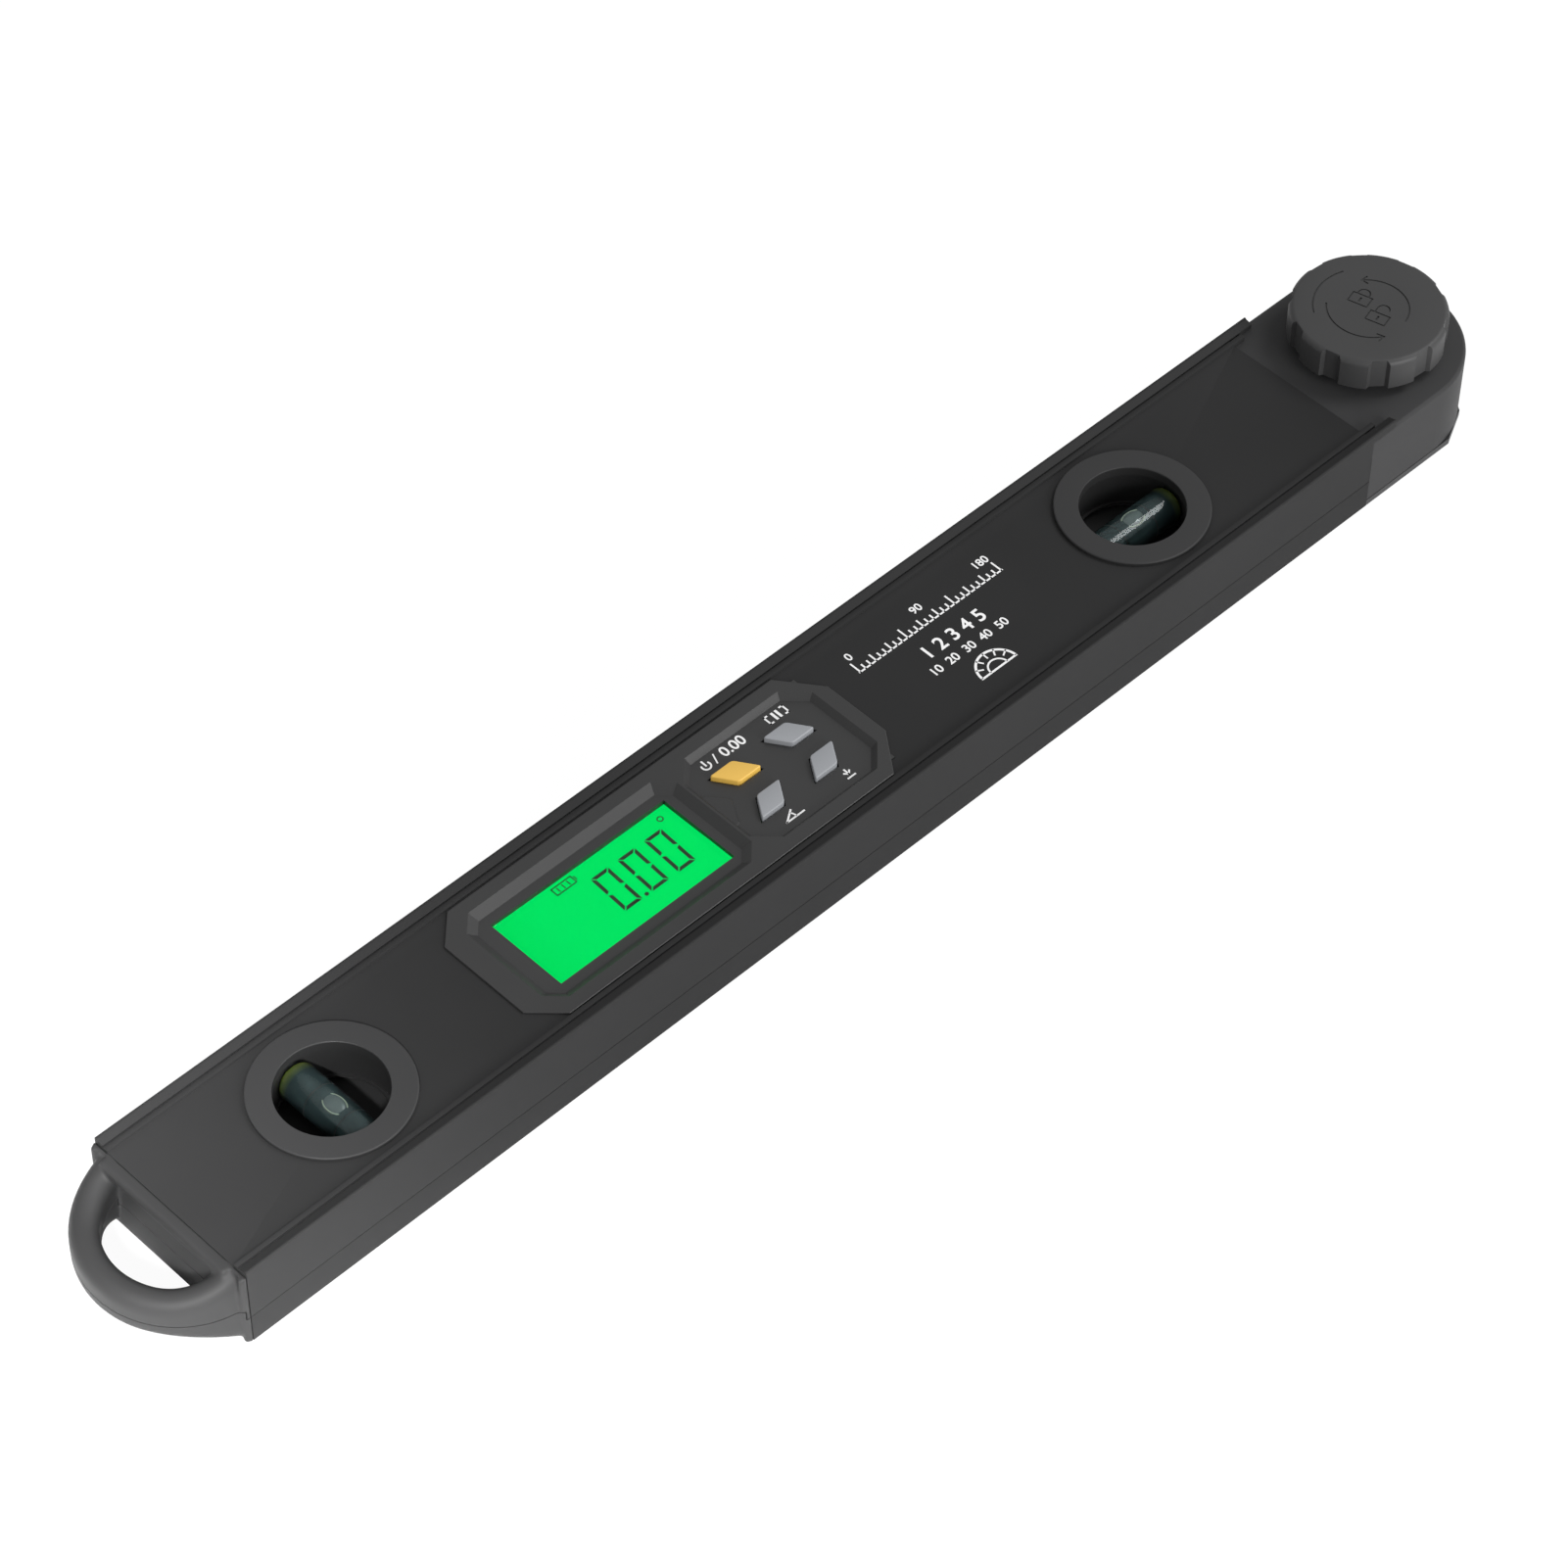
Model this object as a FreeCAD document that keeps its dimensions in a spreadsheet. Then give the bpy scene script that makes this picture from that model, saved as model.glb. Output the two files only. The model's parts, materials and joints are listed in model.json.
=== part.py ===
"""Digital angle finder with two folding arms, lying folded with its display up.

The main leg and the second leg are aluminium extrusions, stacked one on the other and joined by a
vertical pivot.  +X runs along the tool from its hand loop to its pivot, +Y is the side that the
second leg swings out to, and +Z is up.  The origin is the middle of the folded tool on the plane
that it rests on.  Lengths are in millimetres.
"""
import FreeCAD, Part
import math
import os
import re
import Sketcher

sizes = {
    # The two legs
    "leg_length": 400.0,
    "leg_width": 56.0,
    "main_depth": 15.5,
    "second_depth": 9.4,
    "leg_gap": 0.3,
    "side_wall": 1.6,
    "web": 1.5,
    "edge_round": 0.35,
    "rail_rise": 1.8,
    "rail_width": 4.8,
    "rail_lip": 0.7,
    "rail_step": 0.25,
    "ridge_drop": 0.8,
    "groove_inset": 3.1,
    "groove_width": 0.6,
    "groove_depth": 0.6,
    "outer_tongue": 9.0,
    "inner_tongue": 4.0,
    "sole_recess": 2.0,
    "sole_rail": 5.5,
    # Hand loop and end caps
    "handle_reach": 24.2,
    "loop_radius": 28.0,
    "loop_width": 7.6,
    "loop_depth": 13.0,
    "loop_lift": 0.9,
    "loop_steps": 18,
    "flare_start": 0.5,
    "flare_power": 2.2,
    "loop_clearance": 0.02,
    "flange": 1.0,
    "lip_reach": 2.4,
    "lip_depth": 4.2,
    "plug_length": 14.0,
    "plug_fit": 0.2,
    # Screws
    "screw_radius": 1.2,
    "screw_head": 2.4,
    "head_thickness": 1.0,
    "head_sink": 0.1,
    "short_screw": 3.0,
    "long_screw": 7.0,
    # Pivot
    "housing_inset": 0.2,
    "end_gap": 0.3,
    "housing_drop": 0.7,
    "housing_edge": 1.2,
    "housing_plug": 30.0,
    "plate_thickness": 2.0,
    "plate_gap": 0.3,
    "plate_tail": 58.0,
    "plate_fit": 0.2,
    "plate_screw_near": 14.5,
    "plate_screw_far": 46.4,
    "bolt_radius": 4.0,
    "bolt_head_radius": 7.0,
    "bolt_head_depth": 1.2,
    "bolt_shortfall": 1.0,
    "running_fit": 0.05,
    "bushing_wall": 2.0,
    "bushing_top": 12.0,
    "washer_inset": 4.0,
    "washer_bore": 9.0,
    "washer_thickness": 0.8,
    "washer_seat": 1.0,
    "washer_clearance": 0.5,
    "swing_angle": 225.0,
    "stop_inset": 4.5,
    "stop_radius": 1.5,
    "stop_depth": 1.2,
    "stop_clearance": 0.4,
    "cavity_radius": 15.5,
    "board_radius": 14.8,
    "board_thickness": 1.6,
    "rotor_radius": 13.0,
    "rotor_thickness": 1.2,
    "rotor_lift": 0.9,
    "sensor_gap": 1.6,
    "collar_radius": 17.5,
    "collar_rise": 2.7,
    "collar_spigot": 3.0,
    "collar_bore": 5.5,
    "thrust_radius": 9.0,
    "thrust_thickness": 0.8,
    # Clamp knob
    "knob_inset": 5.7,
    "knob_gap": 0.4,
    "knob_top": 12.1,
    "knob_wall": 2.6,
    "knob_roof": 2.4,
    "knob_socket": 0.5,
    "knob_chamfer": 1.4,
    "knob_hub": 8.6,
    "notch_count": 10,
    "notch_width": 4.2,
    "notch_depth": 1.6,
    "notch_angle": 13.0,
    "nut_radius": 6.4,
    "nut_height": 5.0,
    # Display unit, with the gaps before and after it as shares of the room between the windows
    "gap_before_bezel": 0.547,
    "gap_after_bezel": 0.33,
    "bezel_length": 129.8,
    "bezel_rise": 0.6,
    "bezel_side": 0.6,
    "bezel_fit": 0.1,
    "bezel_corner": 8.2,
    "bezel_nose_x": 9.0,
    "bezel_nose_y": 12.0,
    "skirt_inset": 4.6,
    "skirt_wall": 1.4,
    "frame_offset": 6.8,
    "frame_side": 4.1,
    "frame_sink": 2.0,
    "frame_bevel": 2.6,
    "frame_corner": 4.8,
    "window_near": 7.2,
    "window_far": 5.4,
    "window_side": 10.2,
    "window_fit": 0.1,
    "lcd_sink": 3.8,
    "lens_thickness": 0.7,
    "lcd_margin": 1.4,
    "lcd_thickness": 1.2,
    "light_thickness": 1.8,
    "pcb_thickness": 1.6,
    "connector_width": 1.2,
    "pad_length": 46.0,
    "pad_gap": 0.6,
    "pad_margin": 4.4,
    "pad_side": 4.3,
    "pad_sink": 1.8,
    "pad_floor": 1.2,
    "pad_bevel": 1.6,
    "pad_corner": 6.4,
    # Buttons
    "button_length": 8.0,
    "button_width": 6.6,
    "button_slant": 4.4,
    "button_pitch": 19.0,
    "button_offset": 13.1,
    "button_row": 6.4,
    "button_rise": 1.5,
    "button_fit": 0.3,
    "button_flange": 0.8,
    "flange_thickness": 0.8,
    "flange_gap": 0.3,
    "button_travel": 0.8,
    "button_round": 0.7,
    "switch_size": 6.0,
    "switch_case": 1.2,
    "plunger_radius": 1.7,
    "plunger_gap": 0.3,
    # Vial windows
    "plumb_station": 50.8,
    "level_from_end": 65.9,
    "ring_side": 1.9,
    "ring_rise": 1.2,
    "ring_flat": 6.8,
    "ring_neck": 3.0,
    "ring_bevel": 0.3,
    "tube_step": 1.1,
    "tube_wall": 1.6,
    "ring_fit": 0.2,
    "base_step": 2.0,
    "base_inset": 2.1,
    "vial_radius": 5.5,
    "vial_gap": 0.5,
    "vial_round": 3.4,
    "vial_knee": 0.85,
    "vial_shoulder": 1.15,
    "stub_radius": 1.8,
    "vial_drop": 0.8,
    # Battery bay
    "battery_radius": 5.25,
    "battery_length": 44.5,
    "battery_pitch": 11.0,
    "bay_length": 50.0,
    "bay_width": 25.0,
    "bay_wall": 1.2,
    "bay_fit": 0.2,
    "spring_length": 2.6,
    "contact_thickness": 0.4,
    "contact_height": 7.4,
    "contact_width": 8.4,
    "spring_tip": 1.6,
    "spring_root": 3.4,
    "cover_tab": 9.0,
    "lead_radius": 0.6,
    "lead_overlap": 4.0,
    # Cable between the display board and the angle sensor
    "ribbon_width": 5.0,
    "ribbon_thickness": 0.5,
    "ribbon_turn": 8.0,
    "ribbon_slack": 0.6,
    "ribbon_fit": 0.5,
    "ribbon_landing": 1.6,
    "socket_depth": 1.4,
    "socket_width": 3.0,
    "socket_edge": 1.0,
    # Board fixings
    "boss_radius": 2.2,
    "boss_inset_x": 9.9,
    "boss_inset_y": 4.2,
    # How far a cutting tool runs past the faces that it opens
    "overshoot": 1.0,
    # Corners of the pivot plate's round end, as shares of the pivot's radius
    "plate_first_x": 0.24,
    "plate_second_x": 0.62,
    "plate_second_y": 0.81,
    "plate_third_x": 0.96,
    "plate_third_y": 0.3,
}
TOLERANCE = 0.01
SHORT_EDGE = 0.5
# Where two sides of an octagon meet, drawing both in by 1 moves their corner along them by this much
CORNER_DRAW = math.tan(math.pi / 8)

doc = FreeCAD.newDocument("AngleFinder")
sheet = doc.addObject("Spreadsheet::Sheet", "Sizes")
for row, (alias, value) in enumerate(sizes.items(), start=1):
    sheet.set(f"A{row}", alias.replace("_", " "))
    sheet.set(f"B{row}", str(value))
    sheet.setAlias(f"B{row}", alias)
doc.recompute()

# Places that follow from the sizes
PIVOT_RADIUS = "(leg_width / 2 - housing_inset)"
LEG_START = f"((handle_reach - leg_length - end_gap - 2 * {PIVOT_RADIUS}) / 2)"
LEG_END = f"({LEG_START} + leg_length)"
PIVOT = f"({LEG_END} + end_gap + {PIVOT_RADIUS})"
MAIN_BASE = "(second_depth + leg_gap)"
FLOOR = f"({MAIN_BASE} + web)"
PANEL = f"({MAIN_BASE} + main_depth)"
CEILING = f"({PANEL} - web)"
RAIL_TOP = f"({PANEL} + rail_rise)"
RIDGE_TOP = f"({RAIL_TOP} - ridge_drop)"
INSIDE = "(leg_width / 2 - side_wall)"
HOUSING_BASE = "(plate_thickness + plate_gap)"
HOUSING_TOP = f"({PANEL} - housing_drop)"
BEZEL_TOP = f"({PANEL} + bezel_rise)"
FRAME_FLOOR = f"({BEZEL_TOP} - frame_sink)"
PAD_FLOOR = f"({BEZEL_TOP} - pad_sink)"
PAD_UNDERSIDE = f"({PAD_FLOOR} - pad_floor)"
LCD_TOP = f"({BEZEL_TOP} - lcd_sink)"
LCD_BASE = f"({LCD_TOP} - lcd_thickness)"
BOARD_TOP = f"({LCD_BASE} - light_thickness)"
BOARD_BASE = f"({BOARD_TOP} - pcb_thickness)"
LOOP_MIDDLE = f"({PANEL} / 2)"
STOP_CIRCLE = f"({PIVOT_RADIUS} - stop_inset)"
WASHER_RADIUS = f"({STOP_CIRCLE} - washer_inset)"
KNOB_RADIUS = f"({PIVOT_RADIUS} - knob_inset)"
RING_RADIUS = "(leg_width / 2 - rail_width - ring_side)"
RING_BORE = f"({RING_RADIUS} - ring_flat)"
TUBE_BORE = f"({RING_BORE} + tube_step)"
TUBE = f"({TUBE_BORE} + tube_wall)"
BASE_BORE = f"({RING_BORE} + base_step)"
BASE_RADIUS = f"({RING_RADIUS} - base_inset)"
VIAL_HALF = f"({RING_BORE} - vial_gap)"
PLUMB = f"({LEG_START} + plumb_station)"
LEVEL = f"({LEG_END} - level_from_end)"
BAY_SPAN = "(bay_length + cover_tab + 2 * bay_wall)"
ROOM = f"({LEVEL} - {BASE_RADIUS} - {PLUMB} - {RING_RADIUS} - bezel_length - {BAY_SPAN})"
BEZEL_START = f"({PLUMB} + {RING_RADIUS} + gap_before_bezel * {ROOM})"
BEZEL_END = f"({BEZEL_START} + bezel_length)"
BAY_START = f"({BEZEL_END} + gap_after_bezel * {ROOM} + bay_wall)"
BAY_END = f"({BAY_START} + bay_length)"
BEZEL_WIDTH = "(leg_width - 2 * rail_width - 2 * bezel_side)"
FRAME_START = f"({BEZEL_START} + frame_offset)"
PAD_START = f"({BEZEL_END} - pad_margin - pad_length)"
FRAME_LENGTH = f"({PAD_START} - pad_gap - {FRAME_START})"
WINDOW_START = f"({FRAME_START} + window_near)"
WINDOW_END = f"({FRAME_START} + {FRAME_LENGTH} - window_far)"
WINDOW_HALF = "(leg_width / 2 - rail_width - window_side)"
BUTTON_START = f"({PAD_START} + button_offset)"
KNOB_BASE = f"({HOUSING_TOP} + collar_rise + knob_gap)"
HUB_BASE = f"({KNOB_BASE} + thrust_thickness)"
RIBBON_BASE = "(bushing_top + board_thickness)"

finished = []
screws = {}


def bound(text):
    """Turn plain words into references to the sheet's cells."""
    return re.sub(r"[a-z][a-z_]*", lambda word: "Sizes." + word.group(), text)


def value(text):
    """Work a place or a size out as a number."""
    return float(sheet.evalExpression(bound(text)))


def finish(name, item):
    """Name a finished sub-part after its file."""
    item.Label = name
    finished.append(item)
    return item


def place(item, along="0", across="0", up="0"):
    """Bind an object's position to the sheet."""
    for axis, text in (("x", along), ("y", across), ("z", up)):
        item.setExpression(f"Placement.Base.{axis}", bound(text))
    return item


def block(name, along, across, up):
    """Make a box from pairs of (low, high) expressions."""
    item = doc.addObject("Part::Box", name)
    for side, (low, high) in (("Length", along), ("Width", across), ("Height", up)):
        item.setExpression(side, bound(f"({high}) - ({low})"))
    return place(item, along[0], across[0], up[0])


def disc(name, radius, up, along="0", across="0"):
    """Make an upright cylinder between two heights."""
    item = doc.addObject("Part::Cylinder", name)
    item.setExpression("Radius", bound(radius))
    item.setExpression("Height", bound(f"({up[1]}) - ({up[0]})"))
    return place(item, along, across, up[0])


def joined(name, *items):
    item = doc.addObject("Part::MultiFuse", name)
    item.Shapes = list(items)
    return item


def less(name, base, *tools):
    """Cut one or more tools from a base."""
    item = doc.addObject("Part::Cut", name)
    item.Base = base
    item.Tool = tools[0] if len(tools) == 1 else joined(name + "Tools", *tools)
    return item


def grouped(name, *items):
    """Keep like pieces as separate solids of one sub-part."""
    item = doc.addObject("Part::Compound", name)
    item.Links = list(items)
    return item


def new_body(name, along="0", across="0", up="0"):
    return place(doc.addObject("PartDesign::Body", name), along, across, up)


def new_sketch(body, plane, offset="0"):
    """Attach a sketch to one of its body's own planes, shifted along the plane's normal."""
    sketch = body.newObject("Sketcher::SketchObject", body.Name + "_sketch")
    origin = body.Origin.OriginFeatures
    sketch.AttachmentSupport = [(next(item for item in origin if item.Role == plane), "")]
    sketch.MapMode = "FlatFace"
    sketch.setExpression("AttachmentOffset.Base.z", bound(offset))
    return sketch


def polygon(sketch, corners):
    """Draw a closed outline and bind each corner's two coordinates to the sheet."""
    spots = [FreeCAD.Vector(value(x), value(y), 0) for x, y in corners]
    first = sketch.GeometryCount
    count = len(corners)
    for step in range(count):
        sketch.addGeometry(Part.LineSegment(spots[step], spots[(step + 1) % count]))
    for step in range(count):
        following = first + (step + 1) % count
        sketch.addConstraint(Sketcher.Constraint("Coincident", first + step, 2, following, 1))
    for step, (x, y) in enumerate(corners):
        for kind, text, length in (("DistanceX", x, spots[step].x), ("DistanceY", y, spots[step].y)):
            number = sketch.addConstraint(Sketcher.Constraint(kind, first + step, 1, length))
            sketch.setExpression(f"Constraints[{number}]", bound(text))


def circle(sketch, radius, x="0", y="0"):
    """Draw a circle and bind its radius and centre to the sheet."""
    centre = FreeCAD.Vector(value(x), value(y), 0)
    ring = sketch.addGeometry(Part.Circle(centre, FreeCAD.Vector(0, 0, 1), value(radius)))
    number = sketch.addConstraint(Sketcher.Constraint("Radius", ring, value(radius)))
    sketch.setExpression(f"Constraints[{number}]", bound(radius))
    for kind, text in (("DistanceX", x), ("DistanceY", y)):
        number = sketch.addConstraint(Sketcher.Constraint(kind, ring, 3, value(text)))
        sketch.setExpression(f"Constraints[{number}]", bound(text))


def rectangle(sketch, x, y):
    """Draw a rectangle from (low, high) pairs."""
    polygon(sketch, [(x[0], y[0]), (x[1], y[0]), (x[1], y[1]), (x[0], y[1])])


def mirrored(corners):
    """Close the right half of an outline with its mirror image about the middle."""
    return corners + [(f"-({x})", y) for x, y in reversed(corners)]


def feature(body, kind, sketch, length=None):
    """Add a pad, pocket or revolution of a sketch to its body."""
    item = body.newObject("PartDesign::" + kind, f"{body.Name}_{kind}")
    item.Profile = sketch
    if length:
        item.setExpression("Length", bound(length))
    return item


def through(body, sketch):
    pocket = feature(body, "Pocket", sketch)
    pocket.Type = "ThroughAll"
    return pocket


def revolved(body, corners):
    """Turn an outline of (radius, height) corners about the body's upright axis."""
    sketch = new_sketch(body, "XZ_Plane")
    polygon(sketch, corners)
    turned = feature(body, "Revolution", sketch)
    turned.ReferenceAxis = (sketch, ["V_Axis"])
    turned.Angle = 360.0
    return turned


def edge_names(item, test):
    return [f"Edge{number}" for number, edge in enumerate(item.Shape.Edges, start=1) if test(edge)]


def eased(body, kind, size, test):
    """Fillet or chamfer the edges of a body's last feature that pass a test."""
    doc.recompute()
    last = body.Tip
    item = body.newObject("PartDesign::" + kind, f"{body.Name}_{kind}")
    item.Base = (last, edge_names(last, test))
    item.setExpression({"Fillet": "Radius", "Chamfer": "Size"}[kind], bound(size))
    return item


def near(number, text):
    return abs(number - value(text)) < TOLERANCE


def runs_along(edge, direction):
    """Tell whether a straight edge runs along X, Y or Z."""
    box = edge.BoundBox
    spans = {"x": box.XLength, "y": box.YLength, "z": box.ZLength}
    return spans.pop(direction) > SHORT_EDGE and max(spans.values()) < TOLERANCE


def make_main_leg():
    """Box extrusion with a grooved rail along each top edge and openings for what it carries."""
    body = new_body("MainLeg")
    profile = new_sketch(body, "YZ_Plane", LEG_START)
    groove_out = "leg_width / 2 - groove_inset + groove_width / 2"
    groove_in = "leg_width / 2 - groove_inset - groove_width / 2"
    rail_in = "leg_width / 2 - rail_width"
    slope = [
        ("leg_width / 2", RAIL_TOP),
        ("leg_width / 2 - rail_lip", RAIL_TOP),
        ("leg_width / 2 - rail_lip", f"{RAIL_TOP} - rail_step"),
        (groove_out, RIDGE_TOP),
    ]
    polygon(profile, mirrored([("leg_width / 2", MAIN_BASE)] + slope + [
        (groove_out, f"{RIDGE_TOP} - groove_depth"),
        (groove_in, f"{RIDGE_TOP} - groove_depth"),
        (groove_in, RIDGE_TOP),
        (rail_in, RIDGE_TOP),
        (rail_in, PANEL),
    ]))
    rectangle(profile, (f"-{INSIDE}", INSIDE), (FLOOR, CEILING))
    feature(body, "Pad", profile, "leg_length")
    outer_tongue = [(groove_out, HOUSING_TOP), ("leg_width / 2", HOUSING_TOP)] + slope
    inner_tongue = [(rail_in, HOUSING_TOP), (groove_in, HOUSING_TOP), (groove_in, RIDGE_TOP),
                    (rail_in, RIDGE_TOP)]
    for corners, reach in ((outer_tongue, "outer_tongue"), (inner_tongue, "inner_tongue")):
        tongues = new_sketch(body, "YZ_Plane", LEG_END)
        polygon(tongues, corners)
        polygon(tongues, [(f"-({across})", up) for across, up in corners])
        feature(body, "Pad", tongues, reach)
    top_holes = new_sketch(body, "XY_Plane", PANEL)
    half = "leg_width / 2 - rail_width - skirt_inset"
    rectangle(top_holes, (f"{BEZEL_START} + skirt_inset", f"{BEZEL_END} - skirt_inset"), (f"-({half})", half))
    for spot in (PLUMB, LEVEL):
        circle(top_holes, f"{TUBE} + ring_fit", spot)
    feature(body, "Pocket", top_holes, "2 * web")
    sole_holes = new_sketch(body, "XY_Plane", f"{FLOOR} + web")
    for spot in (PLUMB, LEVEL):
        circle(sole_holes, BASE_RADIUS, spot)
    rectangle(sole_holes, (f"{BAY_START} - bay_fit", f"{BAY_END} + cover_tab + bay_fit"),
              ("-bay_width / 2 - bay_fit", "bay_width / 2 + bay_fit"))
    through(body, sole_holes)
    eased(body, "Fillet", "edge_round", lambda edge: runs_along(edge, "x")
          and near(abs(edge.CenterOfMass.y), "leg_width / 2") and near(edge.CenterOfMass.z, RAIL_TOP))
    finish("main_leg", less("MainLegCut", body, *screws["main"]))


def make_second_leg():
    """Flat box extrusion whose sole is recessed between two rails."""
    body = new_body("SecondLeg")
    profile = new_sketch(body, "YZ_Plane", LEG_START)
    polygon(profile, mirrored([
        ("leg_width / 2 - sole_rail", "sole_recess"),
        ("leg_width / 2 - sole_rail", "0"),
        ("leg_width / 2", "0"),
        ("leg_width / 2", "second_depth"),
    ]))
    rectangle(profile, (f"-{INSIDE}", INSIDE), ("sole_recess + web", "second_depth - web"))
    feature(body, "Pad", profile, "leg_length")
    eased(body, "Fillet", "edge_round", lambda edge: runs_along(edge, "x")
          and near(abs(edge.CenterOfMass.y), "leg_width / 2") and near(edge.CenterOfMass.z, "0"))
    finish("second_leg", less("SecondLegCut", body, *screws["second"], *screws["plate"]))


def loop_section(angle, half_height, lift):
    """Upright bar section with round ends, across the hand loop at an angle about its centre."""
    half_width = value("loop_width") / 2
    middle = value("loop_radius") - half_width
    centre_x = value(LEG_START) + value("loop_radius - handle_reach")
    outward = FreeCAD.Vector(math.cos(angle), math.sin(angle), 0)
    up = FreeCAD.Vector(0, 0, 1)
    centre = FreeCAD.Vector(centre_x, 0, value(LOOP_MIDDLE) + lift) + outward * middle
    straight = up * (half_height - half_width)
    side = outward * half_width
    top = Part.Arc(centre + straight + side, centre + up * half_height, centre + straight - side)
    bottom = Part.Arc(centre - straight - side, centre - up * half_height, centre - straight + side)
    return Part.Wire([
        top.toShape(),
        Part.LineSegment(centre + straight - side, centre - straight - side).toShape(),
        bottom.toShape(),
        Part.LineSegment(centre - straight + side, centre + straight + side).toShape(),
    ])


def make_hand_loop():
    """Half-round hand loop that deepens to the legs' full height where it meets the flange."""
    middle = value("loop_radius - loop_width / 2")
    opening = math.acos((value("handle_reach - loop_radius")) / middle)
    root_height = value(f"{PANEL} / 2 - loop_clearance")
    free_height = value("loop_depth") / 2
    steps = int(value("loop_steps"))
    sections = []
    for step in range(steps + 1):
        angle = opening + (2 * math.pi - 2 * opening) * step / steps
        nearness = abs(2 * step / steps - 1)
        start = value("flare_start")
        flare = max(0.0, (nearness - start) / (1 - start)) ** value("flare_power")
        half_height = free_height + (root_height - free_height) * flare
        sections.append(loop_section(angle, half_height, value("loop_lift") * (1 - flare)))
    loop = doc.addObject("Part::Feature", "HandLoop")
    loop.Shape = Part.makeLoft(sections, True, True)
    return loop


def make_end_cap(name, loop, up, plug_up, extras, fixings):
    """Flange over a leg's open end, a plug inside it and this leg's share of the hand loop."""
    outside = (f"{LEG_START} - handle_reach - loop_width", LEG_START)
    share = doc.addObject("Part::Common", name + "Share")
    share.Base = loop
    share.Tool = block(name + "Reach", outside, ("-leg_width", "leg_width"), up)
    flange = block(name + "Flange", (f"{LEG_START} - flange", LEG_START),
                   ("-leg_width / 2", "leg_width / 2"), up)
    plug = block(name + "Plug", (LEG_START, f"{LEG_START} + plug_length"),
                 (f"-{INSIDE} + plug_fit", f"{INSIDE} - plug_fit"), plug_up)
    return less(name, joined(name + "Whole", share, flange, plug, *extras), *fixings)


def screw_row(name, base, length, spots):
    """Like screws driven upwards from a sole, their heads sunk in it, at (along, across) places."""
    row = []
    for number, (along, across) in enumerate(spots):
        head_up = (f"({base} + head_sink)", f"({base} + head_sink + head_thickness)")
        head = disc(f"{name}Head{number}", "screw_head", head_up, along, across)
        shank = disc(f"{name}Shank{number}", "screw_radius", (head_up[1], f"{head_up[1]} + {length}"),
                     along, across)
        row.append(joined(f"{name}{number}", head, shank))
    return row


def both_sides(along, across):
    """Two places, one on each side of the middle."""
    return [(along, across), (along, f"-({across})")]


def make_screws():
    """Screws in the two legs' soles, the plate, the battery cover and the display board."""
    aside = "leg_width / 4"
    cap = f"{LEG_START} + plug_length / 2"
    screws["main"] = screw_row("MainScrew", MAIN_BASE, "long_screw",
                               both_sides(cap, aside) + both_sides(f"{LEG_END} - housing_plug / 2", aside))
    screws["second"] = screw_row("CapScrew", "sole_recess", "short_screw", both_sides(cap, aside))
    screws["plate"] = screw_row("PlateScrew", "0", "short_screw",
                                both_sides(f"{LEG_END} - plate_screw_far", aside)
                                + both_sides(f"{LEG_END} - plate_screw_near", aside))
    screws["cover"] = screw_row("CoverScrew", MAIN_BASE, "long_screw", [(f"{BAY_END} + cover_tab / 2", "0")])
    screws["board"] = screw_row("BoardScrew", f"{BOARD_BASE} - head_thickness - head_sink",
                                "short_screw", board_corners())
    for name, row in (("main_leg_screws", "main"), ("second_cap_screws", "second"),
                      ("pivot_plate_screws", "plate"), ("display_board_screws", "board")):
        finish(name, grouped(name.title().replace("_", ""), *screws[row]))
    finish("battery_cover_screw", screws["cover"][0])


def board_corners():
    """The four places where the display board is screwed to the bezel."""
    start = f"{BEZEL_START} + boss_inset_x"
    end = f"{BEZEL_END} - boss_inset_x"
    across = "leg_width / 2 - rail_width - skirt_inset - boss_inset_y"
    return both_sides(start, across) + both_sides(end, across)


def make_lip():
    """Bead along the top of the main cap's flange, rounded where a hand meets it."""
    bead = block("Lip", (f"{LEG_START} - flange - lip_reach", LEG_START),
                 ("-leg_width / 2 + loop_width", "leg_width / 2 - loop_width"),
                 (f"{PANEL} - lip_depth", PANEL))
    doc.recompute()
    soft = doc.addObject("Part::Fillet", "SoftLip")
    soft.Base = bead
    radius = value("lip_reach") / 2
    front = value(f"{LEG_START} - flange - lip_reach")
    soft.Edges = [(number, radius, radius) for number, edge in enumerate(bead.Shape.Edges, start=1)
                  if runs_along(edge, "y") and abs(edge.CenterOfMass.x - front) < TOLERANCE]
    return soft


def make_end_caps():
    loop = make_hand_loop()
    finish("main_end_cap", make_end_cap(
        "MainCap", loop, (MAIN_BASE, PANEL), (f"{FLOOR} + plug_fit", f"{CEILING} - plug_fit"),
        [make_lip()], screws["main"][:2]))
    finish("second_end_cap", make_end_cap(
        "SecondCap", loop, ("0", "second_depth"),
        ("sole_recess + web + plug_fit", "second_depth - web - plug_fit"), [], screws["second"]))


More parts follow.
